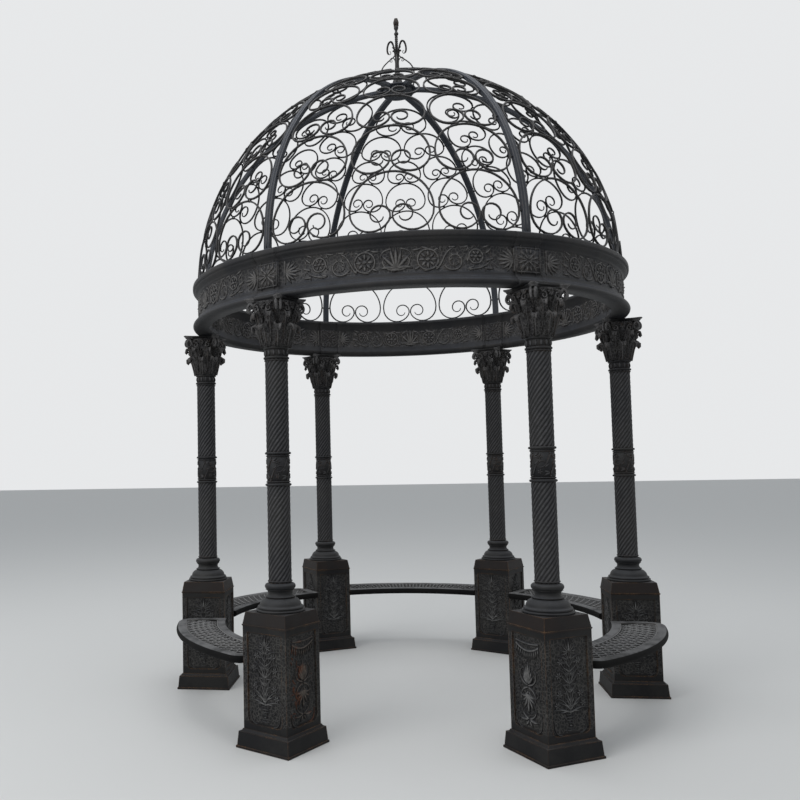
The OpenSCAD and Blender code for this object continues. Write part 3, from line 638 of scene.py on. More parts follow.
# An acanthus leaf: a lobed strip with a raised midrib and fluted lobes, bent along a path of distances and heights
def acanthus_leaf(path, widest, lobes, thick=0.006, across=8, along=16, cup=0.010):
    path = np.array(path, float)
    lengths = np.concatenate([[0], np.cumsum(np.hypot(*np.diff(path, axis=0).T))])
    t = np.linspace(0, 1, along)
    rho = np.interp(t * lengths[-1], lengths, path[:, 0])
    z = np.interp(t * lengths[-1], lengths, path[:, 1])
    slope = np.c_[np.gradient(rho), np.gradient(z)]
    slope /= np.hypot(*slope.T)[:, None]
    outward = np.c_[slope[:, 1], np.zeros(along), -slope[:, 0]][:, None, :]
    spread = np.linspace(-1, 1, across + 1)
    swelling = 0.55 + 0.60 * np.sin(np.pi * np.clip(t * 0.92 + 0.10, 0, 1))
    half_width = widest / 2 * swelling * np.sqrt(1 - 0.88 * t ** 5)
    teeth = 1 - 0.36 * np.abs(np.cos(np.pi * lobes * t)) ** 1.3
    sideways = half_width[:, None] * spread * (1 - (1 - teeth[:, None]) * spread ** 2)
    fluted = 0.0042 * np.cos(np.pi * 5 * np.abs(spread)) * np.clip(1 - np.abs(spread), 0, 1) ** 0.3
    lift = fluted + 0.0035 * (1 - np.abs(spread)) ** 2 - cup * spread ** 2
    front = np.c_[rho, 0 * rho, z][:, None, :] + outward * lift[:, None] + sideways[:, :, None] * (0, 1, 0)
    back = front - outward * thick
    n = 2 * (across + 1)
    tip = (along - 1) * n
    # The back's faces start at the corner behind the front's, so both are split alike
    faces = [face if face[0] % n < across else face[1:] + face[:1] for face in skin_over(along, n)[:-2]]
    for a in range(across):
        faces.append((a, n - 1 - a, n - 2 - a, a + 1))
        faces.append((tip + a, tip + a + 1, tip + n - 2 - a, tip + n - 1 - a))
    return np.concatenate([front, back[:, ::-1]], axis=1).reshape(-1, 3), faces


# A shape set several times round the axis
def repeated(shape, count, first=0):
    places, faces = shape
    return [(places @ turned_by(first + 360 / count * k), faces) for k in range(count)]


bell_outline = [(0.060, 0.0), (0.0740, 0.0), (0.0850, 0.05), (0.0960, 0.10), (0.1075, 0.15), (0.1190, 0.19),
                (0.1290, 0.225), (0.1350, 0.248), (0.1380, 0.262), (0.1380, 0.268), (0.060, 0.268)]
low_path = [(0.081, 0.002), (0.092, 0.045), (0.104, 0.088), (0.117, 0.116), (0.128, 0.123), (0.135, 0.115),
            (0.133, 0.103), (0.126, 0.099)]
high_path = [(0.091, 0.050), (0.105, 0.110), (0.119, 0.158), (0.132, 0.188), (0.143, 0.197), (0.151, 0.189),
             (0.149, 0.176), (0.141, 0.172)]
top_path = [(0.102, 0.130), (0.117, 0.185), (0.130, 0.225), (0.138, 0.246), (0.146, 0.246), (0.149, 0.236)]
corner_path = [(0.098, 0.130), (0.116, 0.185), (0.138, 0.225), (0.158, 0.248), (0.173, 0.252), (0.180, 0.244)]


# A smooth run of points through the ones given
def smooth_run(points, count):
    points = np.array(points, float)
    t = np.linspace(0, len(points) - 1, count)
    k = np.clip(t.astype(int), 0, len(points) - 2)
    f = (t - k)[:, None]
    padded = np.vstack([2 * points[0] - points[1], points, 2 * points[-1] - points[-2]])
    a, b, c, d = padded[k], padded[k + 1], padded[k + 2], padded[k + 3]
    return 0.5 * (2 * b + (c - a) * f + (2 * a - 5 * b + 4 * c - d) * f ** 2 + (3 * b - a - 3 * c + d) * f ** 3)


capital_shapes = [turned_shape(bell_outline, 40)]
low_leaf = acanthus_leaf(smooth_run(low_path, 26), 0.076, 5, cup=0.012)
high_leaf = acanthus_leaf(smooth_run(high_path, 26), 0.078, 5, cup=0.012)
top_leaf = acanthus_leaf(smooth_run(top_path, 20), 0.070, 5, along=14)
corner_leaf = acanthus_leaf(smooth_run(corner_path, 22), 0.072, 6)
capital_shapes += repeated(low_leaf, 8) + repeated(high_leaf, 8, 22.5) + repeated(corner_leaf, 4, 45)
capital_shapes += repeated(top_leaf, 4, -24) + repeated(top_leaf, 4, 24)

# Midribs and small curled shoots fill the ground between the leaves
bell_levels = (0, 0.10, 0.19, 0.25)
shoots = []
for turn, path, thick in ((0, low_path, 0.0052), (22.5, high_path, 0.0050)):
    rib_run = smooth_run([(rho + 0.004, z) for rho, z in path[:6]], 9)
    shoots.append((round_axis(rib_run[:, 0], math.radians(turn), rib_run[:, 1]), thick))
t = np.linspace(0, 1, 7)
for turn in (11.0, -11.0, 34.0, 33.5):
    for low, high, lean in ((0.010, 0.070, 8), (0.075, 0.150, -9), (0.120, 0.205, 10)):
        z = low + (high - low) * t
        rho = np.interp(z, bell_levels, (0.0755, 0.097, 0.120, 0.136)) + 0.004 + 0.004 * t
        swing = np.radians(turn + lean * np.sin(t * 2.6))
        shoots.append((round_axis(rho, swing, z), 0.0048 * np.sin(np.pi * (0.25 + 0.65 * t))))
capital_shapes += repeated(swept(shoots, capital_iron, 4), 8)

# Corner scrolls, side scrolls and rosettes are bent bars
turns = np.linspace(0, 1, 26)
winding = 1.7 - turns * 9.5
spiral = np.c_[0 * turns, np.cos(winding), np.sin(winding)] * (0.030 * (1 - 0.80 * turns))[:, None]
stalk = np.linspace(0, 1, 9)
scroll_bars = []
for side in (-1, 1):
    volute = np.c_[0.164 + spiral[:, 1] * 0.95, side * 0.014 * (1 - turns * 0.4), 0.234 + spiral[:, 2]]
    scroll_bars.append((volute, 0.0095 * (1 - 0.5 * turns)))
    rising = np.c_[0.088 + 0.080 * stalk ** 1.6, side * (0.034 - 0.020 * stalk), 0.120 + 0.142 * stalk ** 0.8]
    scroll_bars.append((rising, 0.0065 + 0.004 * stalk))
capital_shapes += repeated(swept(scroll_bars, capital_iron, 6), 4, 45)

rosette_z = 0.243
petal_run = np.linspace(0.004, 0.024, 6)
rosette = [(np.array([(0.128, 0, rosette_z), (0.140, 0, rosette_z), (0.145, 0, rosette_z)]),
            np.array([0.008, 0.0075, 0.003]))]
for turn in np.radians(np.arange(0, 360, 45)):
    rosette.append((np.c_[0.134 + 0.006 * np.sin(petal_run / 0.024 * math.pi), petal_run * math.cos(turn),
                          rosette_z + petal_run * math.sin(turn)],
                    np.array([0.003, 0.006, 0.0075, 0.0075, 0.006, 0.003])))
small = spiral[:20] * 0.62
unwound = np.linspace(0, 1, 20)
for side in (-1, 1):
    rosette.append((np.c_[0.140 - 0.008 * unwound, side * (0.050 - small[:, 1]), 0.222 + small[:, 2]],
                    0.0052 * (1 - 0.5 * unwound)))
    rosette.append((np.c_[0.096 + 0.042 * t, side * (0.008 + 0.026 * t), 0.120 + 0.105 * t], 0.0045 + 0.0015 * t))
capital_shapes += repeated(swept(rosette, capital_iron, 5), 4)


# The plate over them: hollow sides, cut corners and a moulded edge in three steps
def hollow_square(half, z):
    v = np.linspace(-0.90, 0.90, 14) * half
    side = np.c_[half * (1 - 0.27 * (1 - (v / half / 0.90) ** 2)), v, 0 * v + z]
    return np.concatenate([side @ turned_by(90 * k) for k in range(4)])


rings = [(0.128, 0.2680), (0.140, 0.2690), (0.1440, 0.2740), (0.1440, 0.2780), (0.1500, 0.2810), (0.1555, 0.2860),
         (0.1555, 0.2920)]
plate_places = np.concatenate([hollow_square(half, z) for half, z in rings])
capital_shapes.append((plate_places, skin_over(len(rings), len(plate_places) // len(rings))))

capital_places = np.concatenate([places for places, _ in capital_shapes])
skin = np.interp(capital_places[:, 2], bell_levels, (0.073, 0.095, 0.118, 0.135))
capital_height = np.clip((np.hypot(*capital_places[:, :2].T) - skin - 0.006) / 0.018, 0, 1)
for i in range(1, 7):
    shapes = []
    for places, faces in capital_shapes:
        drawn_in = np.interp(places[:, 2], (0, 0.12, 0.25), (1, 0.98, 0.875))[:, None] * (1, 1, 0) + (0, 0, 1)
        shapes.append((stood_at(i, places * drawn_in + (0, 0, capital_foot)), faces))
    leafwork = piece_from(f"leafy_capital_{i}", shapes, capital_iron, capital_height)
    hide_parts(f"capital_{i}")

# Benches: five curved cast-iron seats between the pedestals, a smooth rolled border round a pierced field.
# They are bolted to the pedestals' sides and to the columns' feet, painted grey and worn pale by use. The seat is
# painted near black below its top as painted shade, the dark seen through the openings of the field.
# Painted shade: the seat near black, so the field between the grey filigree reads as dark openings; only the top
# above the field is painted grey
seat_iron = cast_iron("seat_iron", black=(0.0035, 0.0035, 0.0038, 1), mottle=(0.0060, 0.0058, 0.0055, 1),
                      rubbed=(0.110, 0.085, 0.065, 1), dust=(0.080, 0.081, 0.084, 1), width=0.006, reach=0.7,
                      dust_and_sheen_amount=0.0, gloss=0.12, band=((0.150, 0.150, 0.152, 1), 0.4995, 0.002), matt=0.30)
net_iron = cast_iron("net_iron", black=(0.230, 0.230, 0.232, 1), mottle=(0.300, 0.298, 0.294, 1),
                     rubbed=(0.140, 0.115, 0.095, 1), dust=(0.190, 0.191, 0.194, 1), width=0.003, reach=0.4,
                     dust_and_sheen_amount=0.7, bump=0.15, gloss=0.2, matt=0.2)
for i in range(1, 6):
    finish_node(f"bench_{i}", seat_iron)

# Filigree on the field: a comma-shaped scroll curls round each opening, and four thin lines frame it
seat_bays = (0, 1, 2, 3, 5)
field_top = 0.499
net_drop = 0.0012
seat_in = columns_out - 0.170
seat_out = columns_out + 0.180
seat_end = 0.157
border = 0.064
inner_r = seat_in + border
outer_r = seat_out - border
row_step = (outer_r - inner_r) / 6
hole_step = 1.6 * row_step / (inner_r + outer_r) * 2
nearest_cut = math.asin((seat_end + 0.090) / (seat_out - 0.090))
outer_line_start = 0.165
last_row = 4
seat_strokes = []
for k in range(last_row + 1):
    r = inner_r + row_step * (k + 1)
    wide = r * hole_step / 2 - 0.0065
    edge = math.asin((seat_end + border + wide) / r)
    if k == last_row:
        edge = max(edge, nearest_cut)
    count = 2 * int((math.pi / 6 - edge) / hole_step + (k % 2) / 2) + 1 - k % 2
    for j in range(count):
        middle = math.pi / 6 + (j - (count - 1) / 2) * hole_step
        for hand in (1, -1):
            swirl = np.radians(90 + hand * (20 + 190 * t))
            u = wide * 1.12 * np.cos(swirl) * (1 - 0.30 * t)
            v = (row_step - 0.004) * np.sin(swirl) * (1 - 0.30 * t)
            seat_strokes.append((round_axis(r + v, middle + u / r, field_top - net_drop), 0.0037 * (1 - 0.40 * t)))
for r in (inner_r + 0.003, outer_r - 0.003, inner_r - 0.004, outer_r + 0.004):
    low = math.asin((seat_end + 0.066) / r)
    if r > columns_out:
        low = max(low, outer_line_start)
    seat_strokes.append((round_axis(r, np.linspace(low, math.pi / 3 - low, 40), field_top), 0.0045))
seat_places, seat_faces = swept(seat_strokes, net_iron, 4)
for i, bay in enumerate(seat_bays):
    piece_from(f"bench_filigree_{i + 1}", [(seat_places @ turned_by(60 * bay) + plan_centre, seat_faces)], net_iron,
               np.ones(len(seat_places)))

# Ring: six curved cast-iron segments between blocks, a tall frieze between a stepped cornice and a lower roll.
# The ornament is cast on, outside and inside: a shell in the middle, rings of petals, coiled stems and leaves.
ring_out = 1.500
ring_in = 1.430
ring_foot = 2.580
ring_turn = -2.0
block_half = math.degrees(math.asin(0.085 / ring_out))
middle_z = ring_foot + 0.1495
# Ornament crests and a net of lines on the frieze are painted lighter as painted highlights with rubbed paint; the
# blue-grey on what faces up is dust and a painted reflection of the sky
ring_iron = cast_iron("ring_iron", black=(0.0085, 0.0090, 0.0110, 1), mottle=(0.020, 0.019, 0.019, 1),
                      width=0.006, reach=0.55, dust_and_sheen_amount=0.55, dust=(0.075, 0.082, 0.100, 1), gloss=0.30,
                      crest_highlight_and_rub=(0.145, 0.138, 0.132, 1), crest_highlight_and_rub_amount=0.9, rubbed=(0.095, 0.076, 0.062, 1),
                      highlight_net=(46.0, 2.656, 2.798, 0.40))
lower_roll = [(0.082, 0.000), (0.098, 0.002)]
lower_roll += [(0.0965 + 0.0150 * math.cos(a), 0.0185 + 0.0165 * math.sin(a)) for a in np.linspace(-1.45, 1.45, 11)]
lower_roll += [(0.0945, 0.0370), (0.0945, 0.0425), (0.0865, 0.0455), (0.0800, 0.0520), (0.0755, 0.0600),
               (0.0735, 0.0680), (0.0735, 0.0705), (0.0702, 0.0725)]
cornice = [(0.0702, 0.2265), (0.0735, 0.2285), (0.0735, 0.2325), (0.0765, 0.2385), (0.0820, 0.2450),
           (0.0890, 0.2510), (0.0960, 0.2570), (0.0990, 0.2630), (0.0990, 0.2680), (0.1080, 0.2700),
           (0.1105, 0.2735), (0.1115, 0.2800), (0.1115, 0.2940), (0.1100, 0.3000), (0.1060, 0.3040),
           (0.1000, 0.3050)]
inner_side = [(0.000, 0.305), (0.000, 0.2840), (0.0015, 0.2800), (0.0065, 0.2780), (0.0065, 0.0420),
              (0.0015, 0.0400), (0.000, 0.0360), (0.000, 0.000)]


# An outline of distances and heights, run round the axis between two directions
def arc_of(outline, start, stop, steps):
    rho, z = np.array(outline).T
    angles = np.radians(np.linspace(start, stop, steps + 1))
    return np.concatenate([round_axis(rho, a, z) for a in angles]), skin_over(steps + 1, len(rho), flip=True)


def arc_of_ring(outline, start, stop, steps):
    places, faces = arc_of(np.array(outline) + (ring_in, ring_foot), start, stop, steps)
    return places + plan_centre, faces


def ring_of_petals(x, z, r, petals, width, eye, rim):
    strokes = petals_round(x, z, r * 0.30, petals, r * 0.60, width)
    around = np.linspace(0, 2 * math.pi, 20)
    strokes.append((np.c_[x + r * np.cos(around), z + r * np.sin(around), 0 * around + 0.001], rim))
    strokes.append((np.array([(x - eye, z, 0.002), (x, z, 0.005), (x + eye, z, 0.002)]),
                    np.array([0.004, eye, 0.004])))
    return strokes


# Half a segment, drawn from its middle to a block, over a height of 150 mm
half_drawing = [leaf_stroke(0.002, -0.050, 90 - turn, length, 0.027, bend)
                for turn, length, bend in ((20, 0.118, 2), (44, 0.112, 0), (70, 0.094, -8))]
half_drawing.append(bent_stroke(0.010, -0.058, 4, 0.150, 10, 52, 0.0090, 0.0045, ease=1.4))
half_drawing.append(bent_stroke(0.026, 0.064, -8, 0.110, -6, -58, 0.0080, 0.0040, ease=1.4))
half_drawing += ring_of_petals(0.176, -0.004, 0.058, 8, 0.024, 0.013, 0.0075)
half_drawing += leaves_at(((0.100, -0.058, 20, 0.050, 0.018), (0.092, 0.052, 0, 0.056, 0.018),
                           (0.140, 0.068, -20, 0.050, 0.016), (0.150, -0.066, 0, 0.060, 0.015),
                           (0.236, 0.058, 200, 0.044, 0.016), (0.240, -0.056, 150, 0.040, 0.016)), 8)
half_drawing.append(bent_stroke(0.222, -0.060, 40, 0.150, 14, -20, 0.0085, 0.0065))
half_drawing.append(bent_stroke(0.268, -0.040, -50, 0.350, 16, 42, 0.0085, 0.0040, ease=1.2))
half_drawing += [leaf_stroke(0.330 + 0.016 * math.cos(a), -0.002 + 0.016 * math.sin(a),
                             math.degrees(a) + 20, 0.030, 0.014) for a in np.linspace(0, 5.2, 6)]
half_drawing += leaves_at(((0.290, 0.064, -6, 0.050, 0.016), (0.356, 0.062, 0, 0.056, 0.016),
                           (0.390, 0.040, 60, 0.034, 0.014), (0.396, -0.058, 10, 0.050, 0.016),
                           (0.392, -0.020, 60, 0.046, 0.015)), 10)
half_drawing += ring_of_petals(0.446, 0.012, 0.040, 6, 0.020, 0.011, 0.0065)
half_drawing.append(bent_stroke(0.410, -0.062, 5, 0.190, 2, 26, 0.0080, 0.0040, ease=1.5))
half_drawing += leaves_at(((0.486, 0.062, 15, 0.050, 0.016), (0.494, -0.052, -12, 0.056, 0.017),
                           (0.500, -0.012, 10, 0.060, 0.020), (0.500, 0.028, 35, 0.052, 0.018)), 6)
half_drawing += [leaf_stroke(0.668, -0.002, 180 - turn, 0.100 - abs(turn) * 0.0003, 0.024, turn / 14)
                 for turn in (-72, -46, -22, 0, 22, 46, 72)]
half_drawing.append(bent_stroke(0.676, -0.068, 90, 0.136, 0, 0, 0.0070, 0.0070))
half_drawing += strewn_leaves((0.01, -0.066), (0.62, 0.066), 46, 5)
frieze_drawing = mirrored(half_drawing)
frieze_drawing.append(leaf_stroke(0, -0.052, 90, 0.124, 0.030))
frieze_drawing.append(leaf_stroke(-0.030, -0.056, 0, 0.060, 0.030))
frieze_places, frieze_faces = swept(frieze_drawing, ring_iron, 4)
frieze_places[:, 1] += middle_z

# A block's ornament: crossed leaf scrolls round a small flower, in a frame
quarter = [bent_stroke(0.008, 0.010, 50, 0.088, -6, 42, 0.0085, 0.0040, ease=1.4),
           bent_stroke(0.014, 0.004, 10, 0.066, 6, -48, 0.0075, 0.0040, ease=1.3),
           leaf_stroke(0.030, 0.026, 50, 0.040, 0.019), leaf_stroke(0.036, 0.010, 20, 0.034, 0.017),
           leaf_stroke(0.010, 0.036, 78, 0.034, 0.017)]
block_drawing = mirrored(quarter)
block_drawing += [(points * (1, -1, 1), radii) for points, radii in block_drawing]
block_drawing += petals_round(0, 0, 0.004, 6, 0.022, 0.013)
for sign in (-1, 1):
    block_drawing.append((np.array([(sign * 0.076, v, 0) for v in np.linspace(-0.069, 0.069, 5)]), 0.0052))
    block_drawing.append((np.array([(u, sign * 0.069, 0) for u in np.linspace(-0.076, 0.076, 5)]), 0.0052))
block_drawing += strewn_leaves((-0.066, -0.058), (0.066, 0.058), 12, 3)
block_places, block_faces = swept(block_drawing, ring_iron, 4)
block_places[:, 1] += middle_z


# A drawing laid on the outside of the ring, or on its inside with side -1
def wrapped(places, azimuth, radius, side):
    u, v, depth = places.T
    angle = math.radians(azimuth) + side * u / ring_out
    return round_axis(radius + side * depth * flattened, angle, v) + plan_centre


frieze_shift = 0.020
inner_field = 0.0065
block_field = ring_out + 0.0100
plain_outline = lower_roll + cornice + inner_side
for i in range(1, 7):
    middle = 60 * (i - 1) + 30 + ring_turn
    body = arc_of_ring(plain_outline, middle - 30 + block_half, middle + 30 - block_half, 32)
    outside = (wrapped(frieze_places + (frieze_shift, 0, 0), middle, ring_out, 1), frieze_faces)
    inside = (wrapped(frieze_places, middle, ring_in + inner_field, -1), frieze_faces)
    height = np.concatenate([np.zeros(len(body[0])), *[np.clip(frieze_places[:, 2] / 0.007, 0, 1)] * 2])
    segment = piece_from(f"ring_segment_{i}", [body, outside, inside], ring_iron, height)
    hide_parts(f"beam_{i}")
block_shapes = []
block_outline = lower_roll + [(0.0800, 0.0740), (0.0800, 0.2250)] + cornice + inner_side
for i in range(1, 7):
    middle = 60 * (i - 1) + ring_turn
    block_shapes.append(arc_of_ring(block_outline, middle - block_half, middle + block_half, 8))
    block_shapes.append((wrapped(block_places, middle, block_field, 1), block_faces))
    block_shapes.append((wrapped(block_places, middle, ring_in + inner_field, -1), block_faces))
heights = []
for places, faces in block_shapes:
    off_axis = np.hypot(*(places - plan_centre)[:, :2].T)
    heights.append(np.clip((off_axis - block_field - 0.0005) / 0.006, 0, 1) * (len(faces) == len(block_faces)))
blocks = piece_from("ring_blocks", block_shapes, ring_iron, np.concatenate(heights))
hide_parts("beam_blocks")

# Dome ribs: six flat cast bars that stand on the blocks of the ring and meet under the crown.
# Each carries a narrow raised bead along its middle, pinned where the panels are tied to it.
dome_r = 1.500
dome_foot = 2.885
dome_turn = -2.0
# The ribs are tinted blue all over, and bluer on what faces up, as a painted reflection of the sky
rib_iron = cast_iron("rib_iron", black=(0.0130, 0.0170, 0.0250, 1), mottle=(0.026, 0.031, 0.041, 1), width=0.005,
                     reach=0.40, dust_and_sheen_amount=0.65, dust=(0.080, 0.096, 0.125, 1), gloss=0.45)
for i in range(1, 7):
    finish_node(f"rib_{i}", rib_iron)


def on_dome(azimuth, elevation, reach):
    azimuth, elevation = np.radians(azimuth), np.radians(elevation)
    return round_axis(reach * np.cos(elevation), azimuth, dome_foot + reach * np.sin(elevation)) + plan_centre


climb = np.linspace(0.5, 84.6, 46)
for i in range(1, 7):
    strokes = []
    for offset, thick in ((0.0, 0.0060), (0.0185, 0.0036), (-0.0185, 0.0036)):
        lean = np.degrees(offset / (dome_r * np.cos(np.radians(climb))))
        strokes.append((on_dome(60 * (i - 1) + dome_turn + lean, climb, dome_r + 0.010), thick))
    places, faces = swept(strokes, rib_iron, 6)
    piece_from(f"rib_bead_{i}", [(places, faces)], rib_iron, np.ones(len(places)))

# Dome panels: openwork of C-shaped scrolls in tiers, each one bent flat bar that thins towards its curled ends.
# The tiers stand on a flat rail on the ring beam, and small collars tie the scrolls where they touch.
scroll_iron = cast_iron("scroll_iron", black=(0.0085, 0.0090, 0.0110, 1), width=0.0030, reach=0.40, dust_and_sheen_amount=0.35,
                        grain=320.0, bump=0.18, rubbed=(0.085, 0.050, 0.030, 1))
foot_part = 0.513
volute_part = 0.280


def unit(v):
    return v / np.linalg.norm(v)


def facing_way(azimuth, elevation):
    azimuth, elevation = math.radians(azimuth), math.radians(elevation)
    return round_axis(math.cos(elevation), azimuth, math.sin(elevation))


def east_and_down(c):
    azimuth, elevation = math.atan2(c[1], c[0]), math.asin(c[2])
    east = np.array([-math.sin(azimuth), math.cos(azimuth), 0])
    down = np.array([math.sin(elevation) * math.cos(azimuth), math.sin(elevation) * math.sin(azimuth),
                     -math.cos(elevation)])
    return east, down


# The point at rho degrees from c in the direction b, where 0 is down the dome and 90 is east
def ring_point(c, rho, b):
    east, down = east_and_down(c)
    rho, b = math.radians(rho), math.radians(b)
    return c * math.cos(rho) + math.sin(rho) * (math.sin(b) * east + math.cos(b) * down)


def bearing_of(c, v):
    east, down = east_and_down(c)
    return math.degrees(math.atan2(v @ east, v @ down))


def towards(a, b, t):
    t = math.radians(t)
    return a * math.cos(t) + unit(b - (a @ b) * a) * math.sin(t)


def span_of(metres):
    return math.degrees(metres / dome_r)


def angle_between(a, b):
    return math.degrees(math.acos(max(-1, min(1, float(a @ b)))))


# Tiers settle from the rail upwards: every tier rests on the arches of the one under it
def half_gore(elevation):
    return 30 - span_of(0.024) / math.cos(math.radians(elevation))


def arch_size(elevation, count):
    step = 2 * half_gore(elevation) / count
    half_step = math.asin(math.cos(math.radians(elevation)) * math.sin(math.radians(step / 2)))
    return math.degrees(half_step) - span_of(0.0145)


def arch_centres(elevation, count):
    step = 2 * half_gore(elevation) / count
    return [facing_way(30 + step * (j - (count - 1) / 2), elevation) for j in range(count)]


def foot_centre(c, rho, way):
    return towards(ring_point(c, rho, way), c, foot_part * rho)


level = 5.0
for _ in range(8):
    level = foot_part * arch_size(level, 3) + span_of(0.012)
tiers = [(level, 3)]
for count in (3, 3, 3, 3, 2, 1):
    under = tiers[-1]
    lo, hi = under[0] + 4, under[0] + 20
    for _ in range(20):
        middle = (lo + hi) / 2
        rho = arch_size(middle, count)
        free = min(angle_between(foot_centre(c, rho, way), a) for c in arch_centres(middle, count)
                   for a in arch_centres(*under) for way in (270, 90)) - foot_part * rho - arch_size(*under)
        lo, hi = (lo, middle) if free > span_of(0.013) else (middle, hi)
    tiers.append(((lo + hi) / 2, count))


# Flat bar on edge: a four-sided section with its corners taken off, its depth always square to the dome
flat_bars, flat_keys, given = new_tree("flat_bars", [("Width", "NodeSocketFloat"), ("Depth", "NodeSocketFloat")])
section = add_node(flat_bars, "GeometryNodeCurvePrimitiveQuadrilateral",
                   {"Width": given["Depth"], "Height": given["Width"]})
eased = add_node(flat_bars, "GeometryNodeFilletCurve", {"Curve": section.outputs["Curve"], "Radius": 0.0022})
from_centre = flat_bars.nodes.new("GeometryNodeInputPosition")
outward = add_node(flat_bars, "GeometryNodeSetCurveNormal", {"Curve": given["Geometry"],
                                                             "Normal": from_centre.outputs[0]}, mode="FREE")
flat_run = run_along(flat_bars, outward.outputs["Curve"], eased.outputs["Curve"])
thin_with_line(flat_bars, flat_run)
coat(flat_bars, flat_run.outputs["Mesh"], given)


# One half of a scroll as a stroke: half the arch, the round foot, and a volute that winds inwards
def half_scroll(c, rho, way):
    hand = 1 if way == 90 else -1
    foot = foot_part * rho
    middle = foot_centre(c, rho, way)
    start = bearing_of(middle, ring_point(c, rho, way))
    reach = [ring_point(c, rho, 180 - hand * b) for b in np.linspace(0, 88, max(8, int(rho * 1.6)))]
    thick = [1.0] * len(reach)
    foot_sweep = 148
    for t in np.linspace(0, 1, max(9, int(rho * 1.3)))[1:]:
        reach.append(ring_point(middle, foot * (1 - 0.02 * t), start - hand * foot_sweep * t))
        thick.append(1.04 - 0.06 * t)
    last = reach[-1]
    volute = volute_part * rho
    volute_sweep = 372
    eye = towards(last, middle, volute)
    begin = bearing_of(eye, last)
    for t in np.linspace(0, 1, max(14, int(rho * 2.1)))[1:]:
        reach.append(ring_point(eye, volute * (1 - 0.58 * t ** 1.3), begin - hand * volute_sweep * t))
        thick.append(1.0 - 0.42 * t ** 2)
    return np.array(reach) * dome_r, np.array(thick)


gore_scrolls = [half_scroll(c, arch_size(elevation, count), way) for elevation, count in tiers
                for c in arch_centres(elevation, count) for way in (270, 90)]
flat_sizes = {"Width": 0.0100, "Depth": 0.0140, "Material": scroll_iron}
scroll_places, scroll_faces = built_shape(flat_bars, flat_keys, flat_sizes, drawing_of(gore_scrolls))

# Collars: three turns of wire round the place where a foot rests on the rail or on the arch under it
gore_strokes = []
ties = []
for k, (elevation, count) in enumerate(tiers):
    rho = arch_size(elevation, count)
    for c in arch_centres(elevation, count):
        for way in (270, 90):
            foot = foot_centre(c, rho, way)
            if k == 0:
                azimuth = math.degrees(math.atan2(foot[1], foot[0]))
                ties.append((facing_way(azimuth, span_of(0.006)), foot))
                continue
            for a in arch_centres(*tiers[k - 1]):
                gap = angle_between(foot, a) - foot_part * rho - arch_size(*tiers[k - 1])
                if gap < span_of(0.016):
                    ties.append((towards(foot, a, foot_part * rho + gap / 2), a))
for v, ahead in ties:
    side = unit(ahead - (ahead @ v) * v)
    across = np.cross(v, side)
    loop = np.array([v * dome_r + 0.0115 * (side * math.cos(t) * 1.05 + v * math.sin(t) * 0.72)
                     for t in np.linspace(0, 2 * math.pi, 9)])
    for shift in (-0.005, 0.0, 0.005):
        gore_strokes.append((loop + across * shift, 0.0030 if shift else 0.0040))

# Short bars tie the outer scrolls of a tier to the ribs
for elevation, count in tiers[:-1]:
    rho = arch_size(elevation, count)
    centres = arch_centres(elevation, count)
    for c, way, rib_side, hand in ((centres[0], 270, 0, 1), (centres[-1], 90, 60, -1)):
        at_rib = ring_point(c, rho, way)
        azimuth = math.degrees(math.atan2(at_rib[1], at_rib[0]))
        height = math.degrees(math.asin(at_rib[2]))
        edge = rib_side + hand * span_of(0.021) / math.cos(math.radians(height))
        tie_bar = np.array([facing_way(a, height) * dome_r for a in np.linspace(azimuth, edge, 4)])
        gore_strokes.append((tie_bar, 0.0058))
tie_places, tie_faces = swept(gore_strokes, scroll_iron, 4)

# Rail at the foot of a panel
rail_edge = math.degrees(math.asin(0.024 / (dome_r - 0.024)))
rail_places, rail_faces = arc_of(((1.476, 0.0), (1.4995, 0.0), (1.5005, 0.0025), (1.4995, 0.005), (1.476, 0.005)),
                                 rail_edge, 60 - rail_edge, 32)
# The scrolls' outer faces, by their reach out of the dome, get the crests' painted highlight with rubbed paint
scroll_height = np.clip((np.linalg.norm(scroll_places, axis=1) - dome_r) / 0.008, 0, 1)
height = np.concatenate([scroll_height, np.zeros(len(tie_places) + len(rail_places))])
gore_shapes = ((scroll_places, scroll_faces), (tie_places, tie_faces), (rail_places, rail_faces))
for i in range(1, 7):
    spin = turned_by(60 * (i - 1) + dome_turn)
    shapes = [(places @ spin + plan_centre + (0, 0, dome_foot), faces) for places, faces in gore_shapes]
    panel = piece_from(f"scroll_panel_{i}", shapes, scroll_iron, height)
    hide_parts(f"dome_panel_{i}")

# Crown: the cast iron hub at the top of the dome, with a round plate over it.
# The six ribs are bolted to it, and it's painted like them.
finish_node("crown", rib_iron)

# Finial: a flared foot with four struts, four drooping leaf scrolls round a twisted stem, a bud and a leaf point.
# It is wrought from round bar and thin plate, and screwed into the middle of the crown.
crown_r = 0.115
crown_foot = dome_foot + math.sqrt(dome_r ** 2 - crown_r ** 2) - 0.022
finial_foot = crown_foot + 0.030
finial_iron = cast_iron("finial_iron", black=(0.0110, 0.0115, 0.0130, 1), width=0.003, reach=0.5, dust_and_sheen_amount=0.35,
                        grain=320.0, bump=0.18)
bell = [(0.103 - 0.088 * math.sin(t) ** 0.8, 0.002 + 0.220 * (1 - math.cos(t)))
        for t in np.linspace(0, math.pi / 2, 20)]
finial_shapes = [turned_shape([(0.004, 0.0)] + bell + [(0.0165, 0.240), (0.0175, 0.262), (0.004, 0.275)], 48)]
bud = ([(0.0040, 0.444), (0.0095, 0.448)] + rounded_outline(0.0, 0.462, 0.0165, -50, 50, 9)
       + [(0.0095, 0.480), (0.0085, 0.488), (0.0120, 0.496), (0.0165, 0.506), (0.0170, 0.516), (0.0120, 0.528),
          (0.0080, 0.536), (0.0030, 0.540)])
finial_shapes.append(turned_shape(bud, 32))
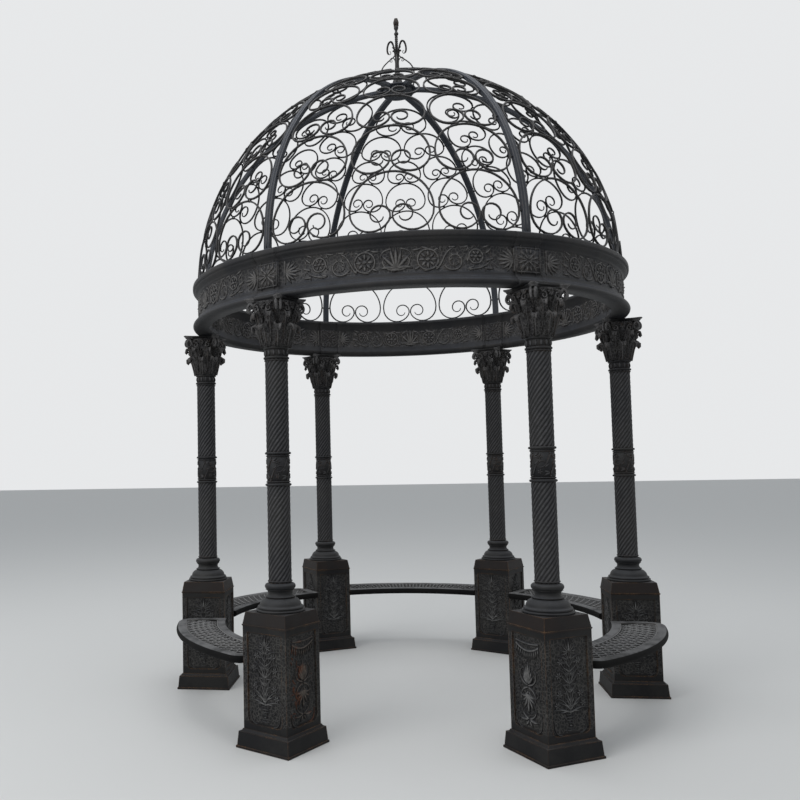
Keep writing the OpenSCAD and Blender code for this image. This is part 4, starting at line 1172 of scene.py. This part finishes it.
strut = [(0.110, 0.004), (0.124, 0.070), (0.124, 0.140), (0.106, 0.196), (0.070, 0.236), (0.030, 0.268),
         (0.014, 0.288)]
arm = [(0.010, 0.255), (0.012, 0.300), (0.018, 0.345), (0.028, 0.385), (0.042, 0.402), (0.056, 0.394),
       (0.066, 0.372), (0.071, 0.344), (0.070, 0.318), (0.062, 0.300), (0.051, 0.298), (0.044, 0.307),
       (0.046, 0.319), (0.053, 0.323)]
inner_arm = [(0.010, 0.235), (0.024, 0.262), (0.038, 0.268), (0.050, 0.256), (0.050, 0.240), (0.040, 0.235),
             (0.035, 0.243), (0.040, 0.250)]
bent_bars = []
for path, count, thick, thinner in ((strut, 20, 0.0055, 0.0012), (arm, 60, 0.0036, 0.0014),
                                    (inner_arm, 34, 0.0034, 0.0014)):
    rho, z = smooth_run(path, count).T
    bent_bars.append((round_axis(rho, 0, z), thick - thinner * np.linspace(0, 1, count)))
finial_shapes += repeated(swept(bent_bars, finial_iron, 7), 4)

# Leaves: one along each arm, small ones between the arms, and two rings of them at the tip
small_leaf = [(0.012, 0.262), (0.019, 0.300), (0.026, 0.330), (0.036, 0.340), (0.042, 0.332)]
point_leaf = [(0.006, 0.530), (0.012, 0.545), (0.0125, 0.558), (0.008, 0.575), (0.002, 0.592)]
small_point = [(0.006, 0.520), (0.014, 0.530), (0.019, 0.542), (0.018, 0.553)]
for path, count, width, lobes, thick, across, along, cup, first in (
        (arm[2:10], 24, 0.017, 5, 0.0022, 6, 18, 0.003, 0), (small_leaf, 16, 0.018, 4, 0.0025, 8, 14, 0.003, 45),
        (point_leaf, 16, 0.018, 3, 0.0025, 8, 14, 0.003, 0), (small_point, 12, 0.014, 3, 0.0025, 8, 10, 0.002, 45)):
    leaf = acanthus_leaf(smooth_run(path, count), width, lobes, thick=thick, across=across, along=along, cup=cup)
    finial_shapes += repeated(leaf, 4, first)

# Twisted stem: two bars wound round each other, a core up to the tip, and a bead round the foot
wound = np.linspace(0, 1, 80)
stem_bars = [(round_axis(0.0058, wound * 34 + a, 0.265 + wound * 0.185), 0.0066) for a in (0, math.pi)]
stem_bars.append((np.array([(0, 0, 0.01), (0, 0, 0.25), (0, 0, 0.53), (0, 0, 0.57), (0, 0, 0.592)]),
                  np.array([0.008, 0.008, 0.007, 0.004, 0.001])))
stem_bars.append((round_axis(0.101, np.linspace(0, 2 * math.pi, 49), 0.004), 0.0045))
finial_shapes.append(swept(stem_bars, finial_iron, 8))
squeeze = (1, 1, 0.941)
shapes = [((places * squeeze) @ turned_by(dome_turn) + plan_centre + (0, 0, finial_foot), faces)
          for places, faces in finial_shapes]
finial = piece_from("leaf_finial", shapes, finial_iron, np.full(sum(len(s[0]) for s in shapes), 0.5))
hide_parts("finial")
